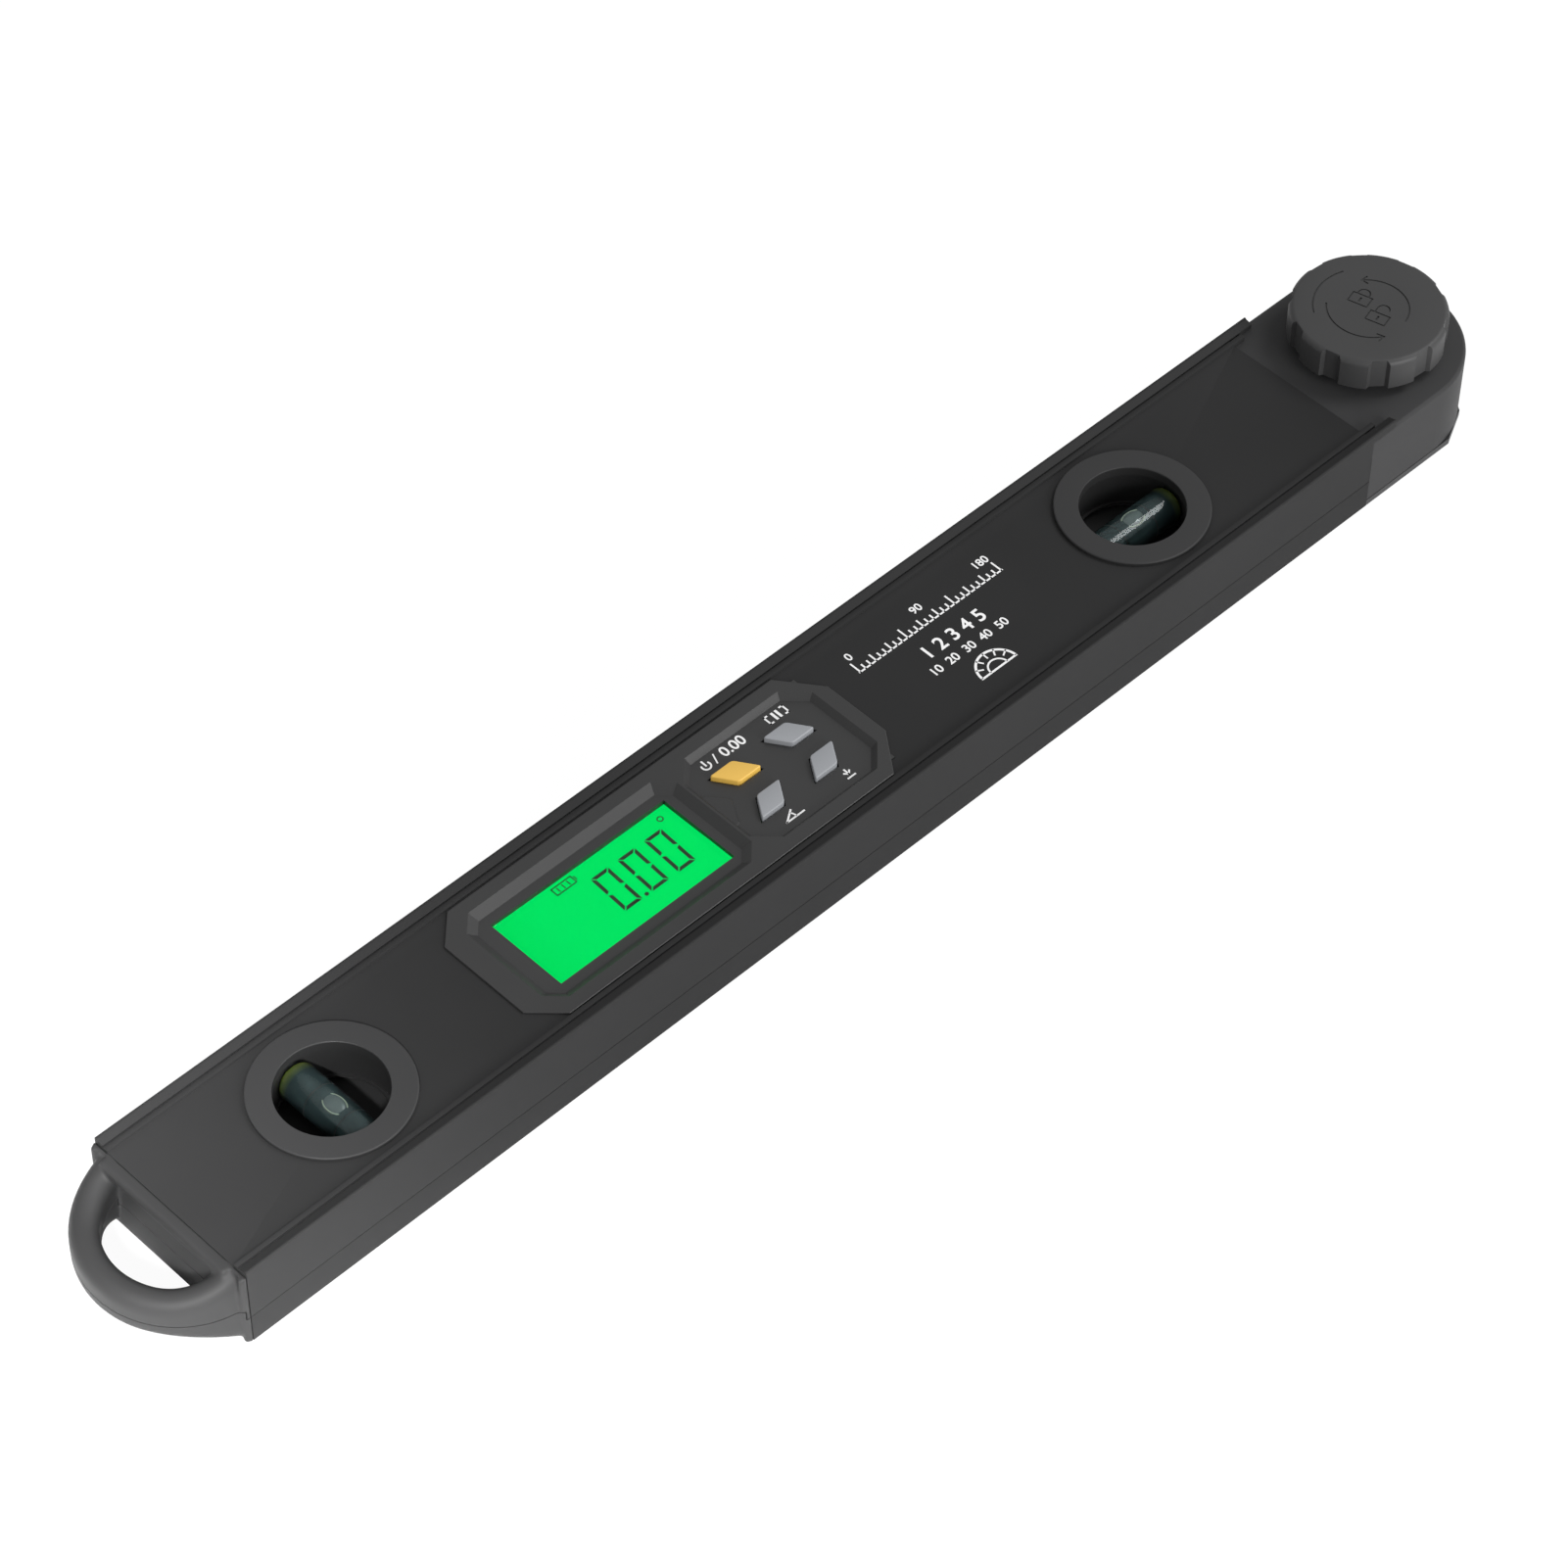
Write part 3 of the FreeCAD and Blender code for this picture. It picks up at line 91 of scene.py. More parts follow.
second_low, second_high = reach("second_leg")
leg_start, leg_end = second_low.x, second_high.x
half_width = second_high.y
seam_low, seam_high = second_high.z, reach("main_leg")[0].z
panel = reach("main_end_cap")[1].z
pivot_x = middle_x("pivot_bushing")
pivot = pivot_x, 0
plumb_x, level_x = middle_x("plumb_vial_base"), middle_x("level_vial_base")
bezel_start, bezel_end = (corner.x for corner in reach("display_bezel"))
print(f"legs {leg_start:.1f} to {leg_end:.1f}, panel at {panel:.1f}, pivot at {pivot_x:.1f}")


# %% Helpers for edit mode
def make_active(*pieces):
    """Select pieces and nothing else, and make the first one active."""
    bpy.ops.object.select_all(action="DESELECT")
    for piece in pieces:
        piece.select_set(True)
    bpy.context.view_layer.objects.active = pieces[0]


def edit(piece, kind):
    """Go into edit mode for corners or edges, with nothing selected."""
    make_active(piece)
    bpy.ops.object.mode_set(mode="EDIT")
    bpy.ops.mesh.select_mode(type=kind)
    bpy.ops.mesh.select_all(action="DESELECT")


def select_all():
    bpy.ops.mesh.select_all(action="SELECT")


def choose_corners(piece, test):
    """Select the corners whose place, in millimetres, passes a test."""
    mesh = bmesh.from_edit_mesh(piece.data)
    for corner in mesh.verts:
        corner.select_set(bool(test(corner.co / MM)))
    bmesh.update_edit_mesh(piece.data)


def object_mode():
    bpy.ops.object.mode_set(mode="OBJECT")


def settle(piece):
    """Put an object's place into its mesh, so that the object itself sits at the origin."""
    make_active(piece)
    bpy.ops.object.transform_apply(location=True, rotation=True, scale=True)
    return piece


def modify(piece, kind, **settings):
    """Add a modifier, set it and apply it."""
    make_active(piece)
    change = piece.modifiers.new(kind.title(), kind)
    for name, value in settings.items():
        setattr(change, name, value)
    bpy.ops.object.modifier_apply(modifier=change.name)
    return piece


def widest(mesh):
    """The longest side of a mesh's box."""
    spans = [[spot.co[way] for spot in mesh.vertices] for way in range(3)]
    return max(max(span, default=0.0) - min(span, default=0.0) for span in spans)


def cut(piece, *tools, operation="DIFFERENCE"):
    """Cut tools out of a piece, or join them to it, and throw the tools away.

    A boolean that loses a large share of the piece's length is done again with the other solver.
    """
    share_kept = 0.7
    for tool in tools:
        before = piece.data.copy()
        modify(piece, "BOOLEAN", operation=operation, solver="EXACT", object=tool)
        if widest(piece.data) < share_kept * widest(before):
            print("second try for", piece.name, "with", tool.name)
            piece.data = before
            modify(piece, "BOOLEAN", operation=operation, solver="FAST", object=tool)
        bpy.data.objects.remove(tool)
    return piece


def join(name, pieces):
    """Make one object of several."""
    make_active(*pieces)
    bpy.ops.object.join()
    pieces[0].name = name
    return pieces[0]


def new_object(name, data):
    """An object in the scene with the given data."""
    piece = bpy.data.objects.new(name, data)
    bpy.context.scene.collection.objects.link(piece)
    return piece


def bevel_edges(piece, test, width, segments=2):
    """Round the edges whose middle, in millimetres, and direction pass a test."""
    edit(piece, "EDGE")
    mesh = bmesh.from_edit_mesh(piece.data)
    for edge in mesh.edges:
        first, last = (corner.co / MM for corner in edge.verts)
        edge.select_set(bool(test((first + last) / 2, (last - first).normalized())))
    bmesh.update_edit_mesh(piece.data)
    bpy.ops.mesh.bevel(offset=width * MM, segments=segments, clamp_overlap=True)
    object_mode()
    return piece


def runs_along(axis, where=lambda middle: True):
    """A test for edges that run along an axis and whose middle passes a test of its own."""
    return lambda middle, way: abs(getattr(way, axis)) > 0.99 and where(middle)


upright = runs_along("z")


# %% Helpers that start a piece
def trace(name, corners):
    """Draw a closed outline corner by corner, as with E in edit mode, and fill it with one face."""
    bpy.ops.mesh.primitive_circle_add(vertices=3, radius=MM, location=Vector(corners[0]) * MM)
    piece = settle(bpy.context.object)
    piece.name = name
    edit(piece, "VERT")
    select_all()
    bpy.ops.mesh.merge(type="CENTER")
    for last, corner in zip(corners, corners[1:]):
        step = (Vector(corner) - Vector(last)) * MM
        bpy.ops.mesh.extrude_vertices_move(TRANSFORM_OT_translate={"value": step})
    select_all()
    bpy.ops.mesh.edge_face_add()
    return piece


def outward(piece):
    """Close the seams of a blank, turn its faces out and leave edit mode."""
    select_all()
    bpy.ops.mesh.remove_doubles(threshold=MM / 1000)
    bpy.ops.mesh.normals_make_consistent(inside=False)
    object_mode()
    return piece


def drawn(name, corners, low, high):
    """Trace a flat outline at one height and extrude it to another."""
    piece = trace(name, [(x, y, low) for x, y in corners])
    bpy.ops.mesh.extrude_region_move(TRANSFORM_OT_translate={"value": Vector((0, 0, high - low)) * MM})
    return outward(piece)


def brick(name, low, high):
    """A rectangular blank between two corners."""
    corners = [(low[0], low[1]), (high[0], low[1]), (high[0], high[1]), (low[0], high[1])]
    return drawn(name, corners, low[2], high[2])


def rod(name, centre, radius, low, high, sides=96):
    """An upright round blank."""
    bpy.ops.mesh.primitive_cylinder_add(vertices=sides, radius=radius * MM, depth=(high - low) * MM,
                                        location=Vector((*centre, (low + high) / 2)) * MM)
    bpy.context.object.name = name
    return settle(bpy.context.object)


def turned(name, profile, centre, axis="z", steps=96):
    """Spin a closed profile of (distance from the axis, place along it) round an axis, as on a lathe."""
    centre = Vector(centre)
    way = Vector([float(letter == axis) for letter in "xyz"])
    side = Vector((0, 1, 0)) if axis == "x" else Vector((1, 0, 0))
    piece = trace(name, [centre + side * out + way * along for out, along in profile])
    bpy.ops.mesh.delete(type="ONLY_FACE")
    select_all()
    bpy.ops.mesh.spin(steps=steps, angle=2 * math.pi, center=centre * MM, axis=way, use_auto_merge=True)
    return outward(piece)


def hoop(name, inner, outer, low, high, centre, **settings):
    """A turned ring between two radii and two places along its axis."""
    return turned(name, [(inner, low), (outer, low), (outer, high), (inner, high)], centre, **settings)


def arc(centre, radius, start, stop, steps):
    """Corners on an arc, from one angle in degrees to another."""
    turns = [math.radians(start + (stop - start) * step / steps) for step in range(steps + 1)]
    return [(centre[0] + radius * math.cos(turn), centre[1] + radius * math.sin(turn)) for turn in turns]


def on_arc(centre, radius, turn):
    """One spot on an arc."""
    return arc(centre, radius, turn, turn, 1)[0]


def ring_of(corners):
    """The pairs of neighbours round a closed outline."""
    return zip(corners, corners[1:] + corners[:1])


def curved_strip(name, centre, radius, start, stop, width, low, high, steps=40):
    """A thin strip that follows an arc."""
    outline = arc(centre, radius + width / 2, start, stop, steps)
    outline += arc(centre, radius - width / 2, stop, start, steps)
    return drawn(name, outline, low, high)


def strip(name, first, last, width, low, high):
    """A thin straight strip from one spot to another."""
    first, last = Vector(first), Vector(last)
    way = (last - first).normalized() * width / 2
    side = Vector((-way.y, way.x))
    corners = [first - way + side, first - way - side, last + way - side, last + way + side]
    return drawn(name, [tuple(corner) for corner in corners], low, high)


def finish_piece(piece, body, material, slot, *nodes, smooth=32):
    """Shade a piece, give it its material and let it ride on its body in place of the named nodes."""
    settle(piece)
    bpy.ops.object.shade_smooth_by_angle(angle=math.radians(smooth))
    piece.data.materials.clear()
    piece.data.materials.append(material)
    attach(piece, body)
    if nodes:
        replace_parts(piece, *nodes)
    print(f"{piece.name}: {len(piece.data.polygons)} faces on {body}")
    return piece


# %% [markdown]
# ## Surface effects that several finishes share
# Real black plastic and anodised metal are never one flat colour: a mould leaves a fine grain, handling
# leaves faint cloudy patches, and an extrusion die leaves hair-fine lines along the leg.  Each effect is a
# node group with its own inputs, built once here and placed in the finishes with its own values.


# %% Build the shared node groups
def new_group(name, **inputs):
    """An empty node group with named numbers going in, and a height, a roughness and a shade coming out."""
    group = bpy.data.node_groups.new(name, "ShaderNodeTree")
    for label, value in inputs.items():
        socket = group.interface.new_socket(label.replace("_", " "), in_out="INPUT",
                                            socket_type="NodeSocketFloat")
        socket.default_value = value
    for label in ("Height", "Roughness", "Shade"):
        group.interface.new_socket(label, in_out="OUTPUT", socket_type="NodeSocketFloat")
    return group, group.nodes.new("NodeGroupInput").outputs, group.nodes.new("NodeGroupOutput")


def wire(node, inputs):
    """Set a node's inputs to values, or link other nodes' outputs to them."""
    for label, value in inputs.items():
        if hasattr(value, "links"):
            node.id_data.links.new(value, node.inputs[label])
        else:
            node.inputs[label].default_value = value


def new_node(tree, kind, inputs=None, **settings):
    """Add a shader node, choose its settings and wire its inputs."""
    node = tree.nodes.new("ShaderNode" + kind)
    for name, value in settings.items():
        setattr(node, name, value)
    wire(node, inputs or {})
    return node


def object_place(tree):
    """Object coordinates, which keep a texture on its piece."""
    return new_node(tree, "TexCoord").outputs["Object"]


def noise_in(group, scale, detail, place, seed):
    """Noise between 0 and 1.  The seed keeps each use of it apart from the others."""
    inputs = {"W": seed, "Detail": detail, "Scale": scale, "Vector": place}
    return new_node(group, "TexNoise", inputs, noise_dimensions="4D").outputs["Fac"]


def spread(group, value, low, high):
    """Map a 0 to 1 value to between two numbers, which may be sockets."""
    return new_node(group, "MapRange", {"To Min": low, "To Max": high, "Value": value}).outputs["Result"]


def build_mould_grain():
    """Fine grain of a spark-eroded mould, with cloudy patches from handling."""
    group, given, out = new_group("MouldGrain", Grain_Size=2600.0, Rough_Low=0.4, Rough_High=0.6, Tone=0.12)
    place = object_place(group)
    grain = noise_in(group, given["Grain Size"], 3.0, place, 1.0)
    patches = noise_in(group, 34.0, 4.0, place, 2.0)
    less, more = (new_node(group, "Math", {0: 1.0, 1: given["Tone"]}, operation=kind).outputs[0]
                  for kind in ("SUBTRACT", "ADD"))
    wire(out, {"Height": grain, "Shade": spread(group, patches, less, more),
               "Roughness": spread(group, patches, given["Rough Low"], given["Rough High"])})
    return group


def build_die_lines():
    """Hair-fine lines that an extrusion die draws along the leg, under a matt etched grain."""
    group, given, out = new_group("DieLines", Rough_Low=0.35, Rough_High=0.5, Line_Strength=0.5)
    place = object_place(group)
    stretch = new_node(group, "Mapping", {"Scale": (3.0, 900.0, 900.0), "Vector": place})
    lines = noise_in(group, 1.0, 4.0, stretch.outputs["Vector"], 3.0)
    etch = noise_in(group, 5200.0, 2.0, place, 4.0)
    patches = noise_in(group, 22.0, 5.0, place, 5.0)
    blend = new_node(group, "Mix", {"Factor": given["Line Strength"], "A": etch, "B": lines})
    wire(out, {"Height": blend.outputs["Result"], "Shade": spread(group, patches, 0.85, 1.15),
               "Roughness": spread(group, patches, given["Rough Low"], given["Rough High"])})
    return group


mould_grain = build_mould_grain()
die_lines = build_die_lines()
print("node groups:", [group.name for group in bpy.data.node_groups])

# %% [markdown]
# ## Finishes
# Each finish is one material.  The Principled shader stays in the material, with its fixed numbers on its
# own sockets; the groups feed only its colour, roughness and bump.


# %% Make the finishes
def make_finish(name, colour, group=mould_grain, bump=0.05, depth=0.01, rough=(0.4, 0.6), shine=0.5,
                **values):
    """A Principled finish whose colour, roughness and bump come from a shared group.

    The bump has a strength and a depth in millimetres, the roughness lies between two numbers, and the
    shine is the specular level.  Other values go to the group if it has an input of that name, or else to
    the shader.
    """
    material = bpy.data.materials.new(name)
    material.use_nodes = True
    tree = material.node_tree
    shader = tree.nodes["Principled BSDF"]
    effect = new_node(tree, "Group", node_tree=group)
    values = {"Base Color": (*colour, 1), "Specular IOR Level": shine, "Rough Low": rough[0],
              "Rough High": rough[1], **values}
    for label, value in values.items():
        label = label.replace("_", " ")
        wire(effect if label in effect.inputs else shader, {label: value})
    tint = new_node(tree, "Mix", {"Factor": 1.0, "A": (*colour, 1), "B": effect.outputs["Shade"]},
                    data_type="RGBA", blend_type="MULTIPLY")
    raised = new_node(tree, "Bump", {"Strength": bump, "Distance": depth * MM,
                                     "Height": effect.outputs["Height"]})
    wire(shader, {"Base Color": tint.outputs["Result"], "Roughness": effect.outputs["Roughness"],
                  "Normal": raised.outputs["Normal"]})
    return material


def blend_along(material, socket, way, plain, tint, start, stop):
    """Blend one colour into another along one direction, from a start to a stop in millimetres."""
    tree = material.node_tree
    split = new_node(tree, "SeparateXYZ", {"Vector": object_place(tree)})
    ramp = new_node(tree, "MapRange", {"From Min": start * MM, "From Max": stop * MM,
                                       "Value": split.outputs[way]})
    blend = new_node(tree, "Mix", {"Factor": ramp.outputs["Result"], "A": (*plain, 1), "B": (*tint, 1)},
                     data_type="RGBA")
    wire(tree.nodes["Principled BSDF"], {socket: blend.outputs["Result"]})


anodised = make_finish("AnodisedBlack", (0.024, 0.024, 0.0243), die_lines, 0.25, 0.02, (0.5, 0.62), 0.06)
moulded = make_finish("MouldedBlack", (0.019, 0.019, 0.0193), mould_grain, 0.3, 0.03, (0.36, 0.48), 0.55)
cap_plastic = make_finish("CapPlastic", (0.025, 0.025, 0.0253), mould_grain, 0.25, 0.03, (0.52, 0.64), 0.18)
ring_plastic_painted_shade = make_finish("RingPlasticPaintedShade", (0.031, 0.031, 0.0315), mould_grain, 0.25, 0.02, (0.46, 0.6), 0.2)
# The ring's colour is darker below its flange's top: painted shade inside its well and on the flange's side.
ring_top = reach("plumb_vial_ring")[1].z
blend_along(ring_plastic_painted_shade, "Base Color", "Z", (0.017, 0.017, 0.0172), (0.029, 0.029, 0.0295),
            ring_top - 0.5, ring_top - 0.2)
# The vial bases are grey plastic, made pale as painted light in the shaded wells.
well_floor_painted_light = make_finish("WellFloorPaintedLight", (0.12, 0.12, 0.122), mould_grain, 0.25, 0.02, (0.46, 0.6), 0.1)
knob_plastic = make_finish("KnobPlastic", (0.037, 0.037, 0.0375), mould_grain, 0.3, 0.03, (0.42, 0.58), 0.3)
cast = make_finish("CastHousing", (0.038, 0.038, 0.0387), mould_grain, 0.3, 0.03, (0.44, 0.56), 0.08,
                   Grain_Size=1900.0)
black_steel = make_finish("BlackSteel", (0.012, 0.012, 0.013), die_lines, 0.2, 0.02, (0.3, 0.42))
rubber_feel = mould_grain, 0.15, 0.015, (0.42, 0.52)
amber_rubber = make_finish("AmberRubber", (0.67, 0.41, 0.074), *rubber_feel, Tone=0.04)
grey_rubber = make_finish("GreyRubber", (0.255, 0.264, 0.28), *rubber_feel, Tone=0.04)
zinc = make_finish("ZincScrew", (0.62, 0.62, 0.60), mould_grain, 0.1, 0.01, (0.24, 0.4), Tone=0.06,
                   Metallic=1.0)
print("finishes:", len(bpy.data.materials))

# %% [markdown]
# ## The two legs
# Both legs are aluminium extrusions, so one cross section runs their whole length and every opening is cut
# in afterwards.  The construction already holds each section with its windows and screw holes, so a merged
# copy of it is the blank, and the visible work is on its edges: a die never leaves a knife edge, and the
# thin bright line along a rail is the light on that small round.


# %% Make the legs from the construction
def blank_from(node, name):
    """A separate mesh from a node of the frame, its loose triangles merged into whole faces."""
    piece = new_object(name, frame["nodes"][node].data.copy())
    edit(piece, "VERT")
    select_all()
    bpy.ops.mesh.remove_doubles(threshold=MM / 500)
    bpy.ops.mesh.dissolve_limited(angle_limit=math.radians(0.5))
    object_mode()
    return piece


rail_width = 6
upper_leg = blank_from("main_leg", "upper_leg")
bevel_edges(upper_leg, runs_along("x", lambda middle: abs(middle.y) > half_width - rail_width), 0.12)
finish_piece(upper_leg, "main_arm", anodised, "black_anodised", "main_leg")
lower_leg = blank_from("second_leg", "lower_leg")
bevel_edges(lower_leg, runs_along("x", lambda middle: abs(middle.y) > half_width - 0.1), 0.25)
finish_piece(lower_leg, "second_arm", anodised, "black_anodised", "second_leg")

# %% [markdown]
# ## The hand loop
# One soft D of moulded plastic closes both legs' ends.  It is one form to the hand, but it is split in two,
# so that its lower part swings away with the lower leg.  The bar is spun round the loop's centre and pulled
# taller towards the flange, joined to the flange and its lip, and then remeshed, so that every inside corner
# fills with a fillet.  The two caps are cut apart last, so that their seam stays crisp.

# %% Spin the loop's bar and pull it taller towards the flange
bar_width, bar_half_tall = 7.6, 6.5
loop_end = reach("main_end_cap")[0].x
loop_x = loop_end + half_width
loop_middle = panel / 2 + 0.9
bar_radius = half_width - bar_width / 2
half_sweep = math.acos((loop_x - leg_start) / bar_radius)
stations = 72


def make_bar():
    """A round-topped bar, spun from the flange round the loop and back."""
    half = bar_width / 2
    rise = bar_half_tall - half
    first = Vector((math.cos(math.pi - half_sweep), math.sin(math.pi - half_sweep)))
    section = arc((0, rise), half, 0, 180, 10) + arc((0, -rise), half, 180, 360, 10)
    spots = [(first * (bar_radius + out), loop_middle + up) for out, up in section]
    piece = trace("hand_loop", [(loop_x + spot.x, spot.y, level) for spot, level in spots])
    bpy.ops.mesh.spin(steps=stations, angle=2 * half_sweep, center=(loop_x * MM, 0, 0), axis=(0, 0, -1))
    return outward(piece)


def flare(piece):
    """Move each station's top up and in and its bottom down, more the nearer it is to the flange."""
    plain_share, steepness, inward, short = 0.35, 2.2, 1.6, 0.1
    edit(piece, "VERT")
    for step in range(stations + 1):
        turn = math.pi - half_sweep + 2 * half_sweep * step / stations
        nearness = abs(2 * step / stations - 1)
        grow = max(0.0, (nearness - plain_share) / (1 - plain_share)) ** steepness
        if grow == 0:
            continue
        lift = (panel - short - loop_middle - bar_half_tall) * grow
        drop = (loop_middle - bar_half_tall - short) * grow
        way = Vector((math.cos(turn), math.sin(turn), 0))

        def at_station(spot, upper):
            flat = Vector((spot.x - loop_x, spot.y, 0))
            return flat.angle(way) < math.radians(0.5) and (spot.z > loop_middle) == upper

        up, down = Vector((0, 0, lift)) - way * inward * grow, Vector((0, 0, -drop))
        for upper, move in ((True, up), (False, down)):
            choose_corners(piece, lambda spot: at_station(spot, upper))
            bpy.ops.transform.translate(value=move * MM)
    object_mode()


loop_bar = make_bar()
flare(loop_bar)
print("the loop's bar reaches", round(min(corner.co.x for corner in loop_bar.data.vertices) / MM, 1))

# %% Join the flange and the lip, and fill the corners
flange_thick = 1.0
lip_deep, lip_tall, lip_inset = 3.4, 4.2, 5.2
flange = brick("flange", (leg_start - flange_thick, -half_width, 0), (leg_start, half_width, panel))
lip = brick("lip", (leg_start - lip_deep, lip_inset - half_width, panel - lip_tall),
            (leg_start, half_width - lip_inset, panel))
bevel_edges(lip, runs_along("y", lambda middle: middle.x < leg_start - lip_deep + 0.4), 1.3, 4)
beads = [rod("bead", (leg_start - 1.05, side * (half_width - 1.0)), 1.0, 0.05, panel - 0.3, 24)
         for side in (-1, 1)]
cut(loop_bar, flange, lip, *beads, operation="UNION")
modify(loop_bar, "REMESH", mode="VOXEL", voxel_size=0.38 * MM)
edit(loop_bar, "VERT")
choose_corners(loop_bar, lambda spot: spot.x < leg_start - 0.7)
bpy.ops.mesh.vertices_smooth(factor=0.5, repeat=9)
object_mode()
modify(loop_bar, "DECIMATE", ratio=0.35)
print("the whole loop has", len(loop_bar.data.polygons), "faces")

# %% Cut the two caps apart
loop_seam = panel / 2
half_gap = 0.15
clear = 1
corner_sweep = math.hypot(pivot_x - leg_start + flange_thick, half_width) + 0.4
sweep_sides = 720


def slab(name, end, low, high):
    """A tool as wide as the loop and a little more, up to an end near the flange."""
    return brick(name, (loop_end - clear, -half_width - clear, low), (end, half_width + clear, high))


beyond = slab("beyond", leg_start - flange_thick / 2, seam_high - clear, loop_seam + half_gap)
cut(beyond, rod("sweep", pivot, corner_sweep - 2 * half_gap, seam_high - 2 * clear, loop_seam + 2 * clear,
                sweep_sides))
below = slab("below", leg_start + clear, -clear, seam_high)
upper_cap = cut(new_object("upper_end_cap", loop_bar.data.copy()), below, beyond)
above = slab("above", leg_start + clear, loop_seam - half_gap, panel + clear)
sweep = rod("sweep", pivot, corner_sweep, seam_low, loop_seam + 2 * clear, sweep_sides)
lower_cap = cut(new_object("lower_end_cap", loop_bar.data.copy()), above, sweep)
bpy.data.objects.remove(loop_bar)
finish_piece(upper_cap, "main_arm", cap_plastic, "black_plastic", "main_end_cap", smooth=50)
finish_piece(lower_cap, "second_arm", cap_plastic, "black_plastic", "second_end_cap", smooth=50)

# %% [markdown]
# ## The pivot housing
# The housing is a round-ended block with a flat top and a soft top edge.  Below the seam it is cut back to
# the pivot's circle on one side, where the lower leg's corner sweeps past.  Three blanks are joined, and the
# top edge is bevelled wide enough for the light to roll over it.

# %% Make the housing
housing_high = reach("pivot_housing")[1]
housing_top, pivot_radius = housing_high.z, housing_high.x - pivot_x
housing_base = 2.3
bore_radius, bore_floor = 15.5, 12.0
groove_half, groove_deep, groove_top = 0.7, 0.35, 18.2
upper_outline = [(leg_end, -pivot_radius), *arc(pivot, pivot_radius, -90, 90, 48), (leg_end, pivot_radius)]
pivot_housing = drawn("pivot_body", upper_outline, seam_high, housing_top)
barrel = rod("barrel", pivot, pivot_radius, housing_base, seam_high + 2)
cheek = brick("cheek", (leg_end + 0.3, -pivot_radius, housing_base), (pivot_x, 0, seam_high + 2))
cut(pivot_housing, barrel, cheek, operation="UNION")
bevel_edges(pivot_housing, lambda middle, way: middle.z > housing_top - 0.01 and middle.x > leg_end + 0.1,
            1.1, 5)
bore = rod("bore", pivot, bore_radius, bore_floor, housing_top + 1)
grooves = [brick("groove", (leg_end - 0.1, side * half_width - groove_half, seam_high - 1),
                 (leg_end + groove_deep, side * half_width + groove_half, groove_top)) for side in (-1, 1)]
cut(pivot_housing, bore, *grooves)
finish_piece(pivot_housing, "main_arm", cast, "black_cast", "pivot_housing")

# %% [markdown]
# ## The clamp knob
# The knob is turned as a cup with a round rim, and its grip notches are cut into that.  Arcs that show which
# way to turn it, and a shut and an open padlock, are engraved in its flat top.

# %% Turn the knob and cut its notches
knob_low, knob_high = reach("clamp_knob")
knob_radius = (knob_high.x - knob_low.x) / 2
edge_round, top_thick, wall = 1.7, 2.4, 4.2
rim = arc((knob_radius - edge_round, knob_high.z - edge_round), edge_round, 0, 90, 6)
profile = [(knob_radius, knob_low.z), *rim, (AXIS, knob_high.z), (AXIS, knob_high.z - top_thick),
           (knob_radius - wall, knob_high.z - top_thick), (knob_radius - wall, knob_low.z)]
clamp_knob = turned("clamp_grip", profile, (*pivot, 0), steps=128)
notches, first_notch = 10, 13
notch_half, notch_deep = 2.6, 1.15


def around(turn, out, side):
    """A spot that is out from the pivot at a turn in degrees, and to one side of that line."""
    right, up = math.cos(math.radians(turn)), math.sin(math.radians(turn))
    return pivot_x + out * right - side * up, out * up + side * right


def notch(number):
    """A shallow grip notch with slanted sides."""
    turn = first_notch + 360 // notches * number
    spots = ((knob_radius + 1, notch_half + 1.6), (knob_radius - notch_deep, notch_half - 0.5))
    corners = [around(turn, out, side) for out, side in spots]
    corners += [around(turn, out, -side) for out, side in reversed(spots)]
    return drawn("notch", corners, knob_low.z - 1, knob_high.z + 1)


cut(clamp_knob, join("notches", [notch(number) for number in range(notches)]))
print("knob:", len(clamp_knob.data.polygons), "faces with its notches")

# %% Engrave the knob's top
cuts = []


def engrave(make, *where, width=0.5, **settings):
    """Add an engraving tool, each a hair deeper than the last, so that no two floors lie in one plane."""
    deep = 0.28 + 0.003 * len(cuts)
    cuts.append(make("engraving", *where, width, knob_high.z - deep, knob_high.z + 0.5 + deep, **settings))


def engrave_padlock(centre, is_open):
    """A small padlock: a square body, and a shackle that is lifted when it is open."""
    tilt = -75
    half, foot, top = 2.9, -2.6, 1.2
    bow, bow_foot, bow_top = 1.7, 1.5, 1.9
    lift = 1.2 if is_open else 0.0

    def spot(right, up):
        across, rise = math.cos(math.radians(tilt)), math.sin(math.radians(tilt))
        return centre[0] + right * across - up * rise, centre[1] + right * rise + up * across

    for first, last in ring_of([spot(-half, foot), spot(half, foot), spot(half, top), spot(-half, top)]):
        engrave(strip, first, last, width=0.42)
    engrave(curved_strip, spot(0, bow_top + lift), bow, tilt, tilt + 180, width=0.42, steps=16)
    engrave(strip, spot(-bow, bow_foot), spot(-bow, bow_top + lift), width=0.4)
    if not is_open:
        engrave(strip, spot(bow, bow_foot), spot(bow, bow_top), width=0.4)
    engrave(strip, spot(0, -1.3), spot(0, -0.2), width=0.6)


barb, barb_turn = 1.3, 8
for radius, start, stop in ((11.9, 127, 241), (10.9, -75, 53), (15.6, 69, 144)):
    engrave(curved_strip, pivot, radius, start, stop)
for radius, turn in ((11.9, 241), (10.9, 53)):
    for out in (-barb, barb):
        engrave(strip, on_arc(pivot, radius, turn), on_arc(pivot, radius + out, turn - barb_turn))
engrave_padlock((pivot_x + 1.2, 4.1), False)
engrave_padlock((pivot_x - 0.9, -4.1), True)
cut(clamp_knob, *cuts)
finish_piece(clamp_knob, "knob", knob_plastic, "black_plastic", "clamp_knob", smooth=25)
